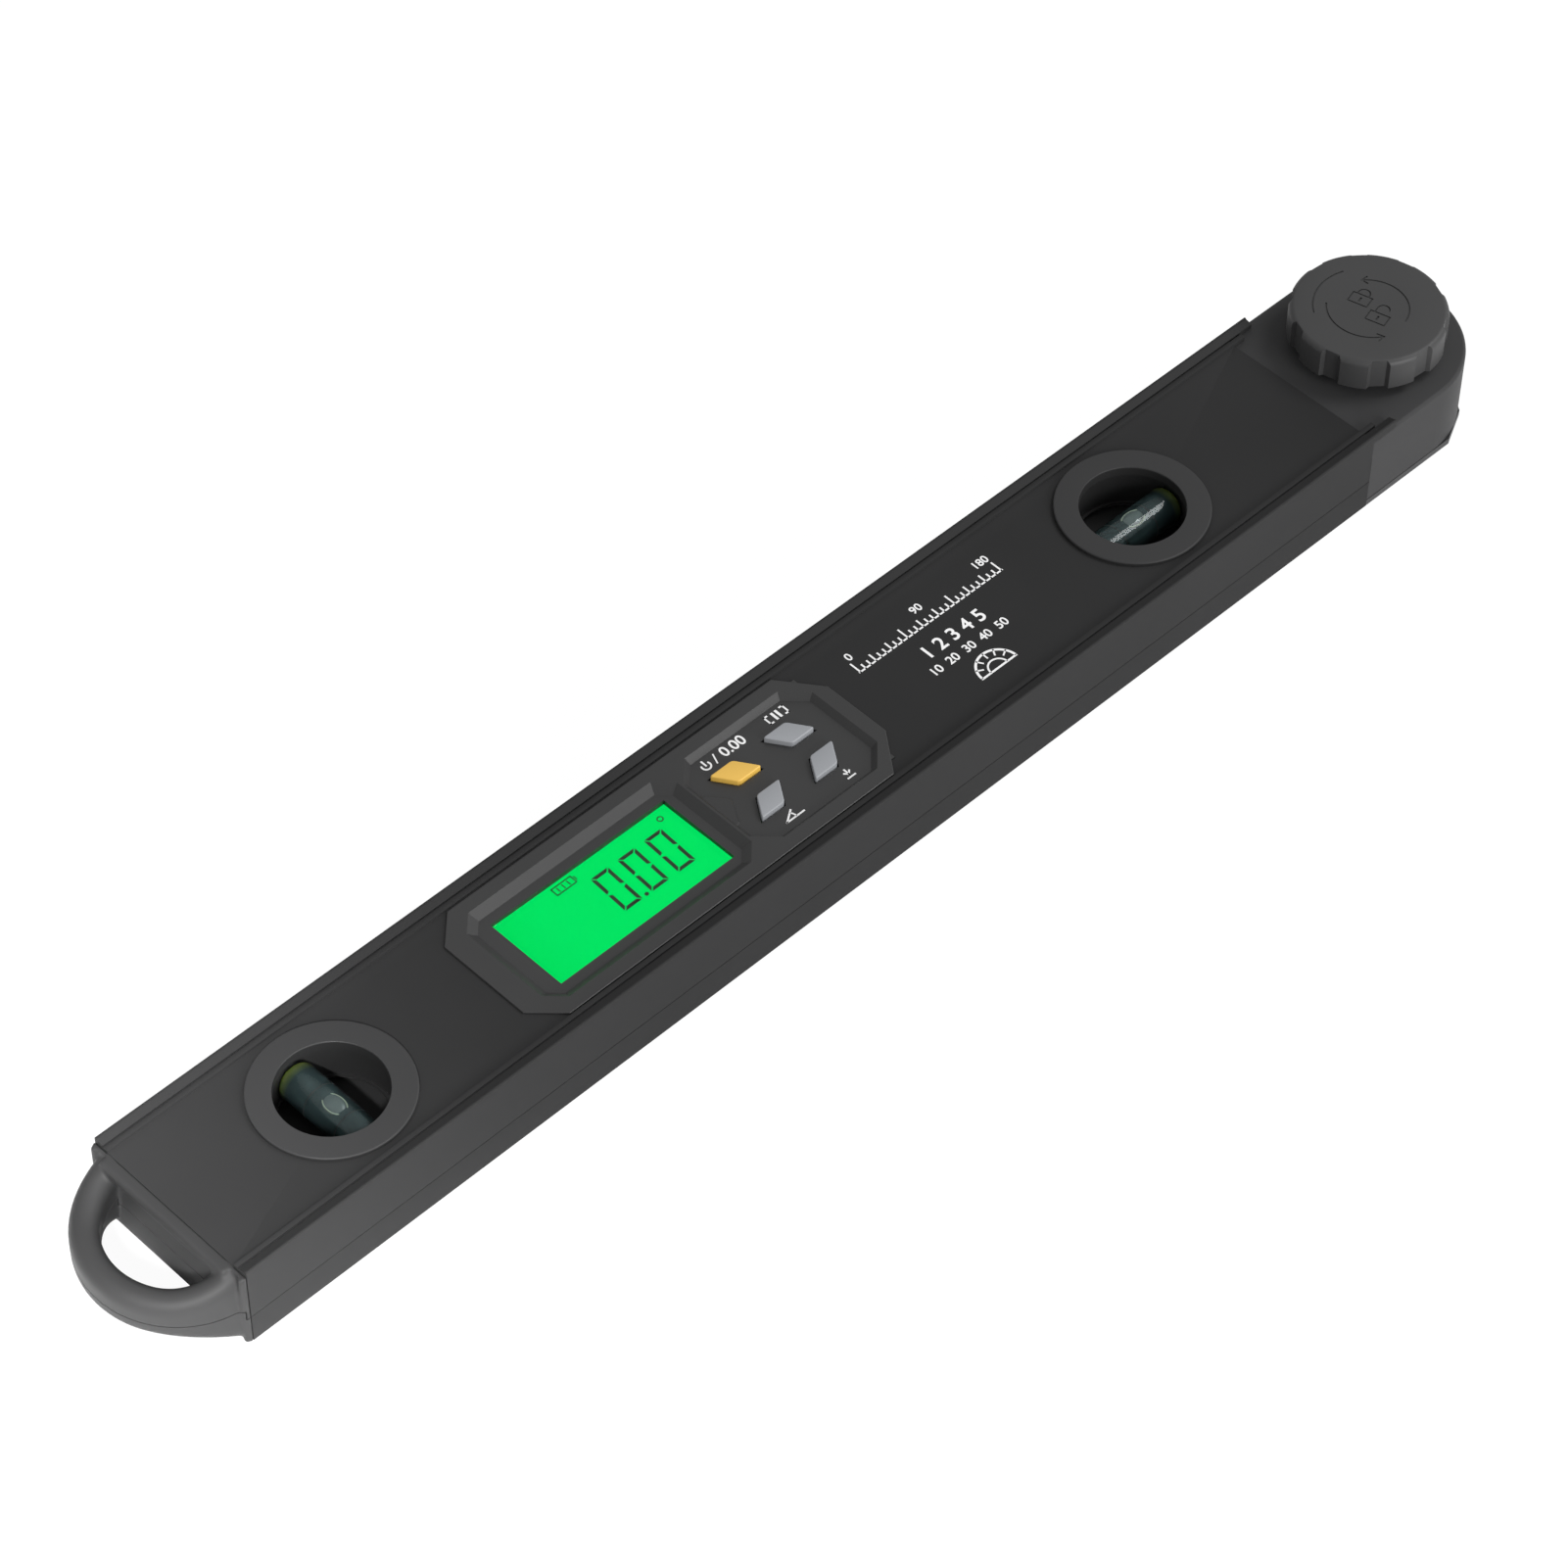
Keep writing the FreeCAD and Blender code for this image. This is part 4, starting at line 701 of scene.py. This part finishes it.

# %% [markdown]
# ## The vial windows
# Each vial is seen through a ring that is pressed into the leg.  The ring's flange is turned with a soft
# outer edge and a sharper inner one, and its bore runs down like a well.  Below the flange's top the ring is
# coloured darker, as painted shade inside the well and on the flange's side, so that the glass stands out.


# %% Turn the rings
def make_ring(name, node, centre_x):
    """A flanged ring with a bead low in its bore."""
    low, high = reach(node)
    outer = (high.x - low.x) / 2
    lip_radius, lip_low, bore_out, neck = 14.5, high.z - 3, 15.6, 17.2
    bead_radius, bead_low, bead_high = 14.75, 12.1, 12.5
    soft, sharp = 0.45, 0.15
    profile = [(lip_radius, lip_low), (lip_radius, high.z - sharp), (lip_radius + sharp, high.z),
               (outer - soft, high.z), *arc((outer - soft, high.z - soft), soft, 80, 10, 4),
               (outer, panel), (neck, panel), (neck, low.z), (bore_out, low.z), (bore_out, bead_low),
               (bead_radius, bead_low), (bead_radius, bead_high), (bore_out, bead_high), (bore_out, lip_low)]
    ring = turned(name, profile, (centre_x, 0, 0), steps=112)
    return finish_piece(ring, "main_arm", ring_plastic_painted_shade, "black_plastic", node)


make_ring("plumb_ring", "plumb_vial_ring", plumb_x)
make_ring("level_ring", "level_vial_ring", level_x)

# %% [markdown]
# ## The vials
# A vial is a clear acrylic tube filled with spirit, with one bubble left in.  The tube is turned round its
# own axis with rounded ends, and the spirit is an opaque core inside it: its dark colour is painted shade of
# the black well seen through the spirit, and its yellow-green towards one end is a painted glint.  The
# bubble is a flattened drop that floats against the tube's upper wall; its pale colour is a painted sheen,
# and a thin pale ring on it is a painted highlight round its outline.  Two thin rings on the core are the
# lines that the bubble is read between.


# %% Finishes of the vials
acrylic = make_finish("ClearAcrylic", (0.78, 0.9, 0.9), rough=(0.02, 0.08), Tone=0.05,
                      Transmission_Weight=1.0, IOR=1.25)
# The bubble's pale colour is a painted sheen, and its paler ring a painted highlight round its outline.
bubble_painted_sheen = make_finish("BubblePaintedSheen", (0.13, 0.155, 0.15), rough=(0.1, 0.25), Tone=0.35)
bubble_painted_highlight = make_finish("BubblePaintedHighlight", (0.42, 0.47, 0.36), rough=(0.1, 0.25), Tone=0.35)
read_line = make_finish("ReadLine", (0.01, 0.01, 0.01), rough=(0.3, 0.4))
print("finishes:", len(bpy.data.materials))


# %% Make the vials
def round_ended(name, radius, half, end, steps, centre, axis):
    """A turned rod with rounded ends, along one axis."""
    profile = [(AXIS, -half), (AXIS, half), *arc((radius - end, half - end), end, 90, 0, steps),
               *arc((radius - end, end - half), end, 0, -90, steps)]
    return turned(name, profile, centre, axis=axis, steps=64)


def make_vial(name, node, centre_x, axis, bubble_at):
    """A clear tube with spirit in it, two read lines and a bubble."""
    low, high = reach(node)
    centre = Vector((centre_x, 0, (low.z + high.z) / 2))
    along = Vector((1, 0, 0)) if axis == "x" else Vector((0, 1, 0))
    radius = (high.z - low.z) / 2
    half = (high - low)[0 if axis == "x" else 1] / 2
    tube = round_ended(name + "_tube", radius, half, 2.2, 6, centre, axis)
    finish_piece(tube, "main_arm", acrylic, "vial", node, smooth=40)

    core = radius - 1.1
    spirit = round_ended(name + "_spirit", core, half - 1.6, 1.6, 5, centre, axis)
    # The spirit's dark colour is painted shade of the black well seen through the clear spirit.
    spirit_painted_shade_and_glint = make_finish(name.title() + "SpiritPaintedShadeAndGlint", (0.02, 0.035, 0.035), mould_grain, 0.02, 0.01, (0.14, 0.3),
                         0.3)
    end = half + (centre.x if axis == "x" else 0.0)
    # Yellow-green towards one end of the spirit: a painted glint.
    blend_along(spirit_painted_shade_and_glint, "Base Color", axis.upper(), (0.034, 0.05, 0.052), (0.19, 0.21, 0.035),
                end - 5.0, end - 1.5)
    finish_piece(spirit, "main_arm", spirit_painted_shade_and_glint, "vial", smooth=40)

    read_at, line_half = 5.6, 0.16
    lines = [hoop(name + "_line", core - 0.2, core + 0.06, spot - line_half, spot + line_half, centre,
                  axis=axis, steps=64) for spot in (-read_at, read_at)]
    finish_piece(join(name + "_lines", lines), "main_arm", read_line, "vial", smooth=40)

    def floating(level):
        """The bubble's place along the vial, at a level over its axis."""
        return (centre + along * bubble_at + Vector((0, 0, level))) * MM

    long, wide, tall = 4.2, 2.7, 1.7
    flat_from = core - 1.7
    stretch = (long, wide, tall) if axis == "x" else (wide, long, tall)
    bpy.ops.mesh.primitive_uv_sphere_add(segments=40, ring_count=20, radius=MM)
    bubble = bpy.context.object
    bubble.name = name + "_bubble"
    bubble.scale = stretch
    bubble.location = floating(core - 1.2)
    settle(bubble)
    edit(bubble, "VERT")
    choose_corners(bubble, lambda spot: spot.z < centre.z + flat_from)
    bpy.ops.transform.resize(value=(1, 1, 0.45), center_override=(centre + Vector((0, 0, flat_from))) * MM)
    object_mode()
    finish_piece(bubble, "main_arm", bubble_painted_sheen, "vial", smooth=40)

    # A thin pale ring on the bubble: a painted highlight round its outline.
    highlight_ring_share, highlight_ring_tall = 0.86, 2.6
    bpy.ops.mesh.primitive_torus_add(major_segments=48, minor_segments=8, major_radius=MM,
                                     minor_radius=0.07 * MM)
    rim = bpy.context.object
    rim.name = name + "_bubble_painted_ring"
    rim.scale = (stretch[0] * highlight_ring_share, stretch[1] * highlight_ring_share, highlight_ring_tall)
    rim.location = floating(core - 0.35)
    finish_piece(rim, "main_arm", bubble_painted_highlight, "vial", smooth=60)


make_vial("plumb", "plumb_vial", plumb_x, "y", -0.8)
make_vial("level", "level_vial", level_x, "x", 0.6)

# %% [markdown]
# ## The display cover
# The cover is an eight-sided plate that lies on the panel and drops through it.  Two forms sink into it: a
# bevelled dish round the display, so that the screen lies well below the hand, and a pad under the buttons.
# Insetting a face while moving it makes such a slope in one step, so both tools start as an outline and are
# inset with a depth before they are cut out.

# %% Make the cover
cover_low, cover_high = reach("display_bezel")
cover_half, bezel_top = cover_high.y, cover_high.z
lcd_top = reach("lcd_panel")[1].z
rail_inset = 4.8
skirt_inset, skirt_half = 4.7, half_width - rail_inset - 4.7
hollow_inset, skirt_wall = 6.1, 1.4
dish_slope, dish_deep = 2.6, 2.0
pad_slope, pad_deep, pad_long = 1.6, 1.8, 46.0
pad_floor = bezel_top - pad_deep
pad_end = bezel_end - 4.4
pad_start = pad_end - pad_long
frame_start, frame_end = bezel_start + 6.8, pad_start - 0.6
window_start, window_end = frame_start + 7.2, frame_end - 5.4
window_half = half_width - rail_inset - 10.2


def octagon(start, end, half, corner, nose=None):
    """An eight-sided outline.  The nose gives both lengths of the corners at its end, if they differ."""
    nose = nose or (corner, corner)
    return [(start, corner - half), (start + corner, -half), (end - nose[0], -half), (end, nose[1] - half),
            (end, half - nose[1]), (end - nose[0], half), (start + corner, half), (start, half - corner)]


def sloped(name, outline, level, slope, depth):
    """A tool that stands a little above a level and narrows to a depth below it."""
    above = 0.5
    piece = trace(name, [(x, y, level + above) for x, y in outline])
    bpy.ops.mesh.extrude_region_move(TRANSFORM_OT_translate={"value": (0, 0, -above * MM)})
    mesh = bmesh.from_edit_mesh(piece.data)
    face = next(face for face in mesh.faces if face.select)
    face.normal_update()
    if face.normal.z > 0:
        bpy.ops.mesh.flip_normals()
    bpy.ops.mesh.inset(thickness=slope * MM, depth=depth * MM)
    return outward(piece)


plate = octagon(bezel_start, bezel_end, cover_half, 8.2, (9.0, 12.0))
cover = drawn("display_cover", plate, panel, bezel_top)
bevel_edges(cover, lambda middle, way: middle.z > bezel_top - 0.01, 0.25)
skirt = brick("skirt", (bezel_start + skirt_inset, -skirt_half, cover_low.z),
              (bezel_end - skirt_inset, skirt_half, panel + 0.3))
hollow = brick("hollow", (bezel_start + hollow_inset, skirt_wall - skirt_half, cover_low.z - 1),
               (pad_start, skirt_half - skirt_wall, lcd_top))
under_pad = brick("under_pad", (pad_start - 1, skirt_wall - skirt_half, cover_low.z - 1),
                  (bezel_end - hollow_inset, skirt_half - skirt_wall, pad_floor - 1.2))
dish_outline = octagon(frame_start, frame_end, cover_half - 4.1, 4.8)
dish = sloped("dish", dish_outline, bezel_top, dish_slope, dish_deep)
pad_outline = octagon(pad_start, pad_end, cover_half - 4.3, 6.4)
pad = sloped("pad", pad_outline, bezel_top, pad_slope, pad_deep)
opening = brick("window", (window_start, -window_half, lcd_top - 1), (window_end, window_half, bezel_top + 1))
crease_spots = ((0.9, 6.9), (2.6, 6.3), (6.6, 1.2), (6.2, 0.2), (2.6, -6.2), (0.9, -6.8))
crease = drawn("crease", [(pad_start + x, y) for x, y in crease_spots], pad_floor - 0.4, pad_floor + 0.45)
bevel_edges(crease, lambda middle, way: middle.z > pad_floor + 0.44 and middle.x > pad_start + 1.5, 0.42, 1)
cut(cover, skirt, operation="UNION")
cut(cover, hollow, under_pad, dish, pad, opening)
cut(cover, crease, operation="UNION")
print("cover:", len(cover.data.polygons), "faces; pad from", round(pad_start, 1))

# %% Cut the button holes and make the buttons
first_button, button_pitch, button_out = 13.1, 19.0, 6.4
half_long, half_wide, slant = 4.0, 3.3, 2.2


def button_outline(number, grow):
    """The slanted outline of a button, with all its sides moved out a little for its hole."""
    side = 1 if number < 2 else -1
    middle = pad_start + first_button + number % 2 * button_pitch
    long, wide = half_long + grow, half_wide + grow
    lean = slant * wide / half_wide
    corners = [(middle - long - lean, wide), (middle + long - lean, wide),
               (middle + long + lean, -wide), (middle - long + lean, -wide)]
    return [(x, side * (button_out + y)) for x, y in corners]


cut(cover, join("holes", [drawn("hole", button_outline(number, 0.3), cover_low.z - 1, bezel_top + 1)
                          for number in range(4)]))
finish_piece(cover, "main_arm", moulded, "black_plastic", "display_bezel", smooth=12)
for number, name in enumerate(("power", "hold", "mode", "memory")):
    rubber, slot = (grey_rubber, "button_grey") if number else (amber_rubber, "button_amber")
    low, high = reach(name + "_button")
    key = drawn(name + "_key", button_outline(number, 0), low.z, high.z)
    bevel_edges(key, upright, 0.8, 3)
    bevel_edges(key, lambda middle, way: middle.z > high.z - 0.01, 0.6, 4)
    finish_piece(key, name + "_button", rubber, slot, name + "_button")

# %% [markdown]
# ## Screen
# The display glows from behind, so its colour is emitted and not lit.  The clear pane lies a hair above it.

# %% Make the screen and its pane
screen_green = make_finish("ScreenGreen", (0.0, 0.02, 0.004), mould_grain, 0.02, 0.005, (0.25, 0.3), 0.0,
                           Emission_Strength=1.0)
blend_along(screen_green, "Emission Color", "X", (0.0, 0.69, 0.105), (0.0, 0.75, 0.117),
            window_start - 1, window_start + 12)
screen = bevel_edges(brick("screen", *reach("lcd_panel")), upright, 0.4)
finish_piece(screen, "main_arm", screen_green, "lcd_green", "lcd_panel")
clear_sheet = make_finish("ClearPane", (1, 1, 1), mould_grain, 0.0, 0.0, (0.01, 0.03), Tone=0.0,
                          Transmission_Weight=1.0, IOR=1.08)
low, high = reach("display_window")
pane = bevel_edges(brick("pane", (low.x, low.y, low.z + 0.15), high), upright, 0.4)
finish_piece(pane, "main_arm", clear_sheet, "clear_window", "display_window")

# %% [markdown]
# ## Marks
# The reading is made of the bars of a seven-bar display: six of them are dark in a nought.  The printed marks
# on the cover and the panel are plain signs, numbers and scales, a few hundredths of a millimetre thick, as
# pad-printed ink is.  Each is drawn as strips or as text that is turned into a mesh.

# %% Make the reading on the screen
digit_ink = make_finish("DigitInk", (0.0008, 0.022, 0.0012), mould_grain, 0.02, 0.005, (0.4, 0.5), Tone=0.05)
sunk, film = 0.02, 0.04
digit_left, digit_pitch = -72.97, 9.2
digit_foot, digit_wide, digit_tall, bar_thick = -6.0, 6.0, 13.65, 1.05


def strokes(rows, low, high):
    """Straight strips from rows of a first spot, a last spot and a width."""
    return [strip("stroke", row[:2], row[2:4], row[4], low, high) for row in rows]


def nought(left, low, high):
    """The six dark bars of a nought, mitred where they nearly meet, and leaning a little."""
    bottom, width, gap, lean = digit_foot, bar_thick, 0.24, 0.05
    right, top, waist = left + digit_wide, bottom + digit_tall, bottom + digit_tall / 2
    bars = [[(left + gap, level), (right - gap, level), (right - gap - width, level + inward),
             (left + gap + width, level + inward)] for level, inward in ((top, -width), (bottom, width))]
    for outer, inner in ((left, left + width), (right, right - width)):
        bars.append([(outer, top - gap), (outer, waist + gap), (inner, waist + gap + width / 2),
                     (inner, top - gap - width)])
        bars.append([(outer, waist - gap), (outer, bottom + gap), (inner, bottom + gap + width),
                     (inner, waist - gap - width / 2)])
    return [drawn("bar", [(x + lean * y, y) for x, y in bar], low, high) for bar in bars]


ink = lcd_top - sunk, lcd_top + 0.06
reading = [bar for number in range(3) for bar in nought(digit_left + digit_pitch * number, *ink)]
reading.append(rod("point", (-65.55, -5.6), 0.62, *ink, 12))
reading.append(hoop("degree", 0.62, 0.95, *ink, (-46.1, 10.1, 0), steps=24))
# a battery: its box, its cap and its three bars
box_sides = ring_of([(-82.0, 9.5), (-75.5, 9.5), (-75.5, 12.0), (-82.0, 12.0)])
uprights = ((-74.9, 10.2, 11.3), (-80.6, 10.1, 11.4), (-78.9, 10.1, 11.4), (-77.2, 10.1, 11.4))
reading += strokes([(*first, *last, 0.32) for first, last in box_sides], *ink)
reading += strokes([(x, foot, x, top, 0.32) for x, foot, top in uprights], *ink)
finish_piece(join("screen_reading", reading), "main_arm", digit_ink, "lcd_green")

# %% Print the signs by the buttons
white_ink = make_finish("WhiteInk", (0.80, 0.80, 0.80), mould_grain, 0.05, 0.005, (0.45, 0.6), Tone=0.04)


def numbers(text, place, size, level):
    """Plain numbers that lie on a level, centred on a spot."""
    thick, bolder = 0.05, 0.014
    bpy.ops.object.text_add()
    line = bpy.context.object.data
    line.body = text
    line.size = size * MM
    line.align_x = line.align_y = "CENTER"
    line.extrude = thick / 2 * MM
    line.offset = bolder * size * MM
    bpy.ops.object.convert(target="MESH")
    piece = bpy.context.object
    piece.location = Vector((*place, level + thick / 2 - 0.01)) * MM
    settle(piece)
    edit(piece, "VERT")
    return outward(piece)


ink = pad_floor - sunk, pad_floor + film
# a power sign, a slash and 0.00
signs = [curved_strip("sign", (-26.4, 13.7), 1.3, -215, 35, 0.5, *ink, steps=20)]
signs += strokes([(-26.4, 13.8, -26.4, 15.5, 0.5), (-23.6, 12.5, -22.5, 15.3, 0.42)], *ink)
signs.append(numbers("0.00", (-16.8, 13.9), 4.7, pad_floor))
# a pause sign in brackets
signs += strokes([(x, 12.8, x, 14.9, 0.75) for x in (-1.9, -0.5)], *ink)
for side in (-1, 1):
    edge = -1.2 + side * 3.2
    tip = edge - side * 0.9
    signs += strokes([(edge, 12.5, edge, 15.2, 0.5), (edge, 12.5, tip, 12.5, 0.5),
                      (edge, 15.2, tip, 15.2, 0.5)], *ink)
# an angle with its arc
signs += strokes([(-24.9, -14.4, -18.9, -14.4, 0.5), (-24.9, -14.4, -21.3, -11.9, 0.5)], *ink)
signs.append(curved_strip("sign", (-24.9, -14.4), 3.4, 0, 34, 0.45, *ink, steps=8))
# an arrow into a tray
signs += strokes([(-2.0, -11.8, -2.0, -13.5, 0.5), (-2.9, -12.7, -2.0, -13.6, 0.5),
                  (-1.1, -12.7, -2.0, -13.6, 0.5), (-3.2, -14.6, -0.8, -14.6, 0.5)], *ink)
finish_piece(join("button_signs", signs), "main_arm", white_ink, "friction_pad")

# %% Print a plain scale and a dial on the panel
ink = panel - sunk, panel + film
ruler_foot, ruler_start, ruler_long, ruler_steps = 8.6, 24.25, 52.5, 27
line_wide = 0.5
scale = strokes([(24.0, ruler_foot, 77.0, ruler_foot, line_wide)], *ink)
for number in range(ruler_steps + 1):
    tall = 3.6 if number % 9 == 0 else 2.6 if number % 3 == 0 else 1.6
    spot = ruler_start + number * ruler_long / ruler_steps
    scale += strokes([(spot, ruler_foot, spot, ruler_foot + tall, line_wide)], *ink)
for text, place, size in (("0", (25.6, 14.4), 3.6), ("90", (50.5, 14.4), 3.6), ("180", (74.6, 14.4), 3.6),
                          ("1 2 3 4 5", (51.2, 1.2), 6.2), ("10  20  30  40  50", (51.0, -4.8), 3.9)):
    scale.append(numbers(text, place, size, panel))
dial, dial_radius, tick_radius = (51.5, -15.2), 6.2, 4.4
scale += [curved_strip("dial", dial, dial_radius, 0, 180, 0.7, *ink),
          curved_strip("dial", dial, 3.0, 0, 180, line_wide, *ink, steps=24)]
scale += strokes([(45.3, dial[1], 57.7, dial[1], 0.6)], *ink)
for turn in range(30, 151, 30):
    scale += strokes([(*on_arc(dial, tick_radius, turn), *on_arc(dial, dial_radius, turn), 0.45)], *ink)
finish_piece(join("panel_scale", scale), "main_arm", white_ink, "friction_pad")

# %% [markdown]
# ## Remaining pieces of the construction
# The other nodes keep their own shapes and get a finish of their own.

# %% Finishes of the inner pieces
brass = make_finish("TurnedBrass", (0.62, 0.40, 0.14), die_lines, 0.2, 0.01, (0.25, 0.4), Metallic=1.0)
board_green = make_finish("BoardMask", (0.01, 0.075, 0.03), mould_grain, 0.1, 0.01, (0.3, 0.45))
sleeve = make_finish("CellSleeve", (0.05, 0.1, 0.2), rough=(0.25, 0.35))
ribbon = make_finish("RibbonFilm", (0.6, 0.57, 0.45), die_lines, 0.1, 0.01, (0.35, 0.5))
red_wire = make_finish("RedWire", (0.45, 0.012, 0.008), bump=0.1)
light_guide = make_finish("LightGuide", (0.75, 0.85, 0.75), rough=(0.2, 0.3))
zebra_rubber = make_finish("ZebraRubber", (0.5, 0.12, 0.2), die_lines, 0.3, 0.02, (0.5, 0.65))
washer_white = make_finish("WasherWhite", (0.7, 0.68, 0.62), bump=0.15)
print("finishes:", len(bpy.data.materials))

# %% Give the carried-over nodes their finishes
carried = {
    anodised: ["pivot_collar"],
    well_floor_painted_light: ["plumb_vial_base", "level_vial_base"],
    moulded: ["battery_cover", "battery_tray"],
    black_steel: ["pivot_plate"],
    zinc: ["main_leg_screws", "second_cap_screws", "pivot_plate_screws", "display_board_screws",
           "battery_cover_screw", "clamp_bolt", "thrust_washer", "battery_contacts", "tact_switches"],
    brass: ["pivot_bushing", "knob_nut"],
    board_green: ["circuit_board", "encoder_board", "encoder_rotor"],
    sleeve: ["batteries"],
    ribbon: ["ribbon_cable"],
    red_wire: ["battery_leads"],
    light_guide: ["lcd_backlight"],
    zebra_rubber: ["lcd_connectors"],
    washer_white: ["friction_washer"],
}
replaced = {node for piece in bpy.data.objects for node in piece.get("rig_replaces", [])}
kept = {name: material for material, names in carried.items() for name in names}
print("left without a finish:", sorted(set(frame["nodes"]) - replaced - set(kept)))
for name, material in kept.items():
    slots = frame["nodes"][name].data.materials
    slots.clear()
    slots.append(material)
print("kept:", len(kept), "replaced:", len(replaced))

# %% [markdown]
# ## Floor, light and camera
# A large soft lamp from the right, a low one in front, a narrow one on the hand loop and a white world give
# the plain studio light.  The floor is white to the camera and still takes the soft shadow under the legs.


# %% Make the floor, the lamps and the camera
def make_floor():
    """A pale floor that the camera sees as nearly white, and that still takes the object's shadow."""
    bpy.ops.mesh.primitive_plane_add(size=8, location=(0, 0, -0.0002))
    floor = settle(bpy.context.object)
    floor.name = "studio_floor"
    paint = bpy.data.materials.new("StudioFloor")
    paint.use_nodes = True
    glow_share = 0.93
    tree = paint.node_tree
    shader = tree.nodes["Principled BSDF"]
    wire(shader, {"Base Color": (0.9, 0.9, 0.9, 1), "Roughness": 0.9})
    glow = new_node(tree, "Emission", {"Strength": 1.02})
    seen = new_node(tree, "LightPath").outputs["Is Camera Ray"]
    share = new_node(tree, "Math", {0: seen, 1: glow_share}, operation="MULTIPLY")
    blend = new_node(tree, "MixShader", {"Fac": share.outputs[0], 1: shader.outputs["BSDF"],
                                         2: glow.outputs["Emission"]})
    wire(tree.nodes["Material Output"], {"Surface": blend.outputs["Shader"]})
    floor.data.materials.append(paint)


def make_lamp(name, place, aim, size, power, cone=None):
    """A soft round lamp, or with a cone in degrees a soft-edged spot."""
    lamp = bpy.data.lights.new(name, "SPOT" if cone else "AREA")
    if cone:
        lamp.spot_size = math.radians(cone)
        lamp.spot_blend = 1.0
        lamp.shadow_soft_size = size
    else:
        lamp.shape = "DISK"
        lamp.size = size
    lamp.energy = power
    holder = new_object(name, lamp)
    holder.location = place
    holder.rotation_euler = (Vector(aim) - Vector(place)).to_track_quat("-Z", "Y").to_euler()


make_floor()
make_lamp("key_lamp", (1.2, -0.5, 1.5), (0, 0, 0), 0.9, 17)
make_lamp("low_lamp", (0.1, -1.6, 0.5), (0, 0, 0.02), 1.0, 25)
make_lamp("loop_lamp", (-0.89, -0.6, 0.82), (-0.275, 0, 0.01), 0.1, 400, cone=9.5)
world = bpy.data.worlds.new("studio_world")
bpy.context.scene.world = world
world.use_nodes = True
wire(world.node_tree.nodes["Background"], {"Color": (1, 1, 1, 1), "Strength": 0.6})
view = bpy.data.cameras.new("studio_camera")
view.lens = 119.349
view.sensor_width = 36
camera = new_object("studio_camera", view)
camera.location = (-0.63228, -0.62307, 1.02211)
camera.rotation_euler = Euler([math.radians(angle) for angle in (41.1704, -0.4612, -44.3495)])
bpy.context.scene.camera = camera
bpy.context.scene.view_settings.view_transform = "Standard"
print("lamps:", len(bpy.data.lights), "and a camera with a", round(view.lens), "mm lens")
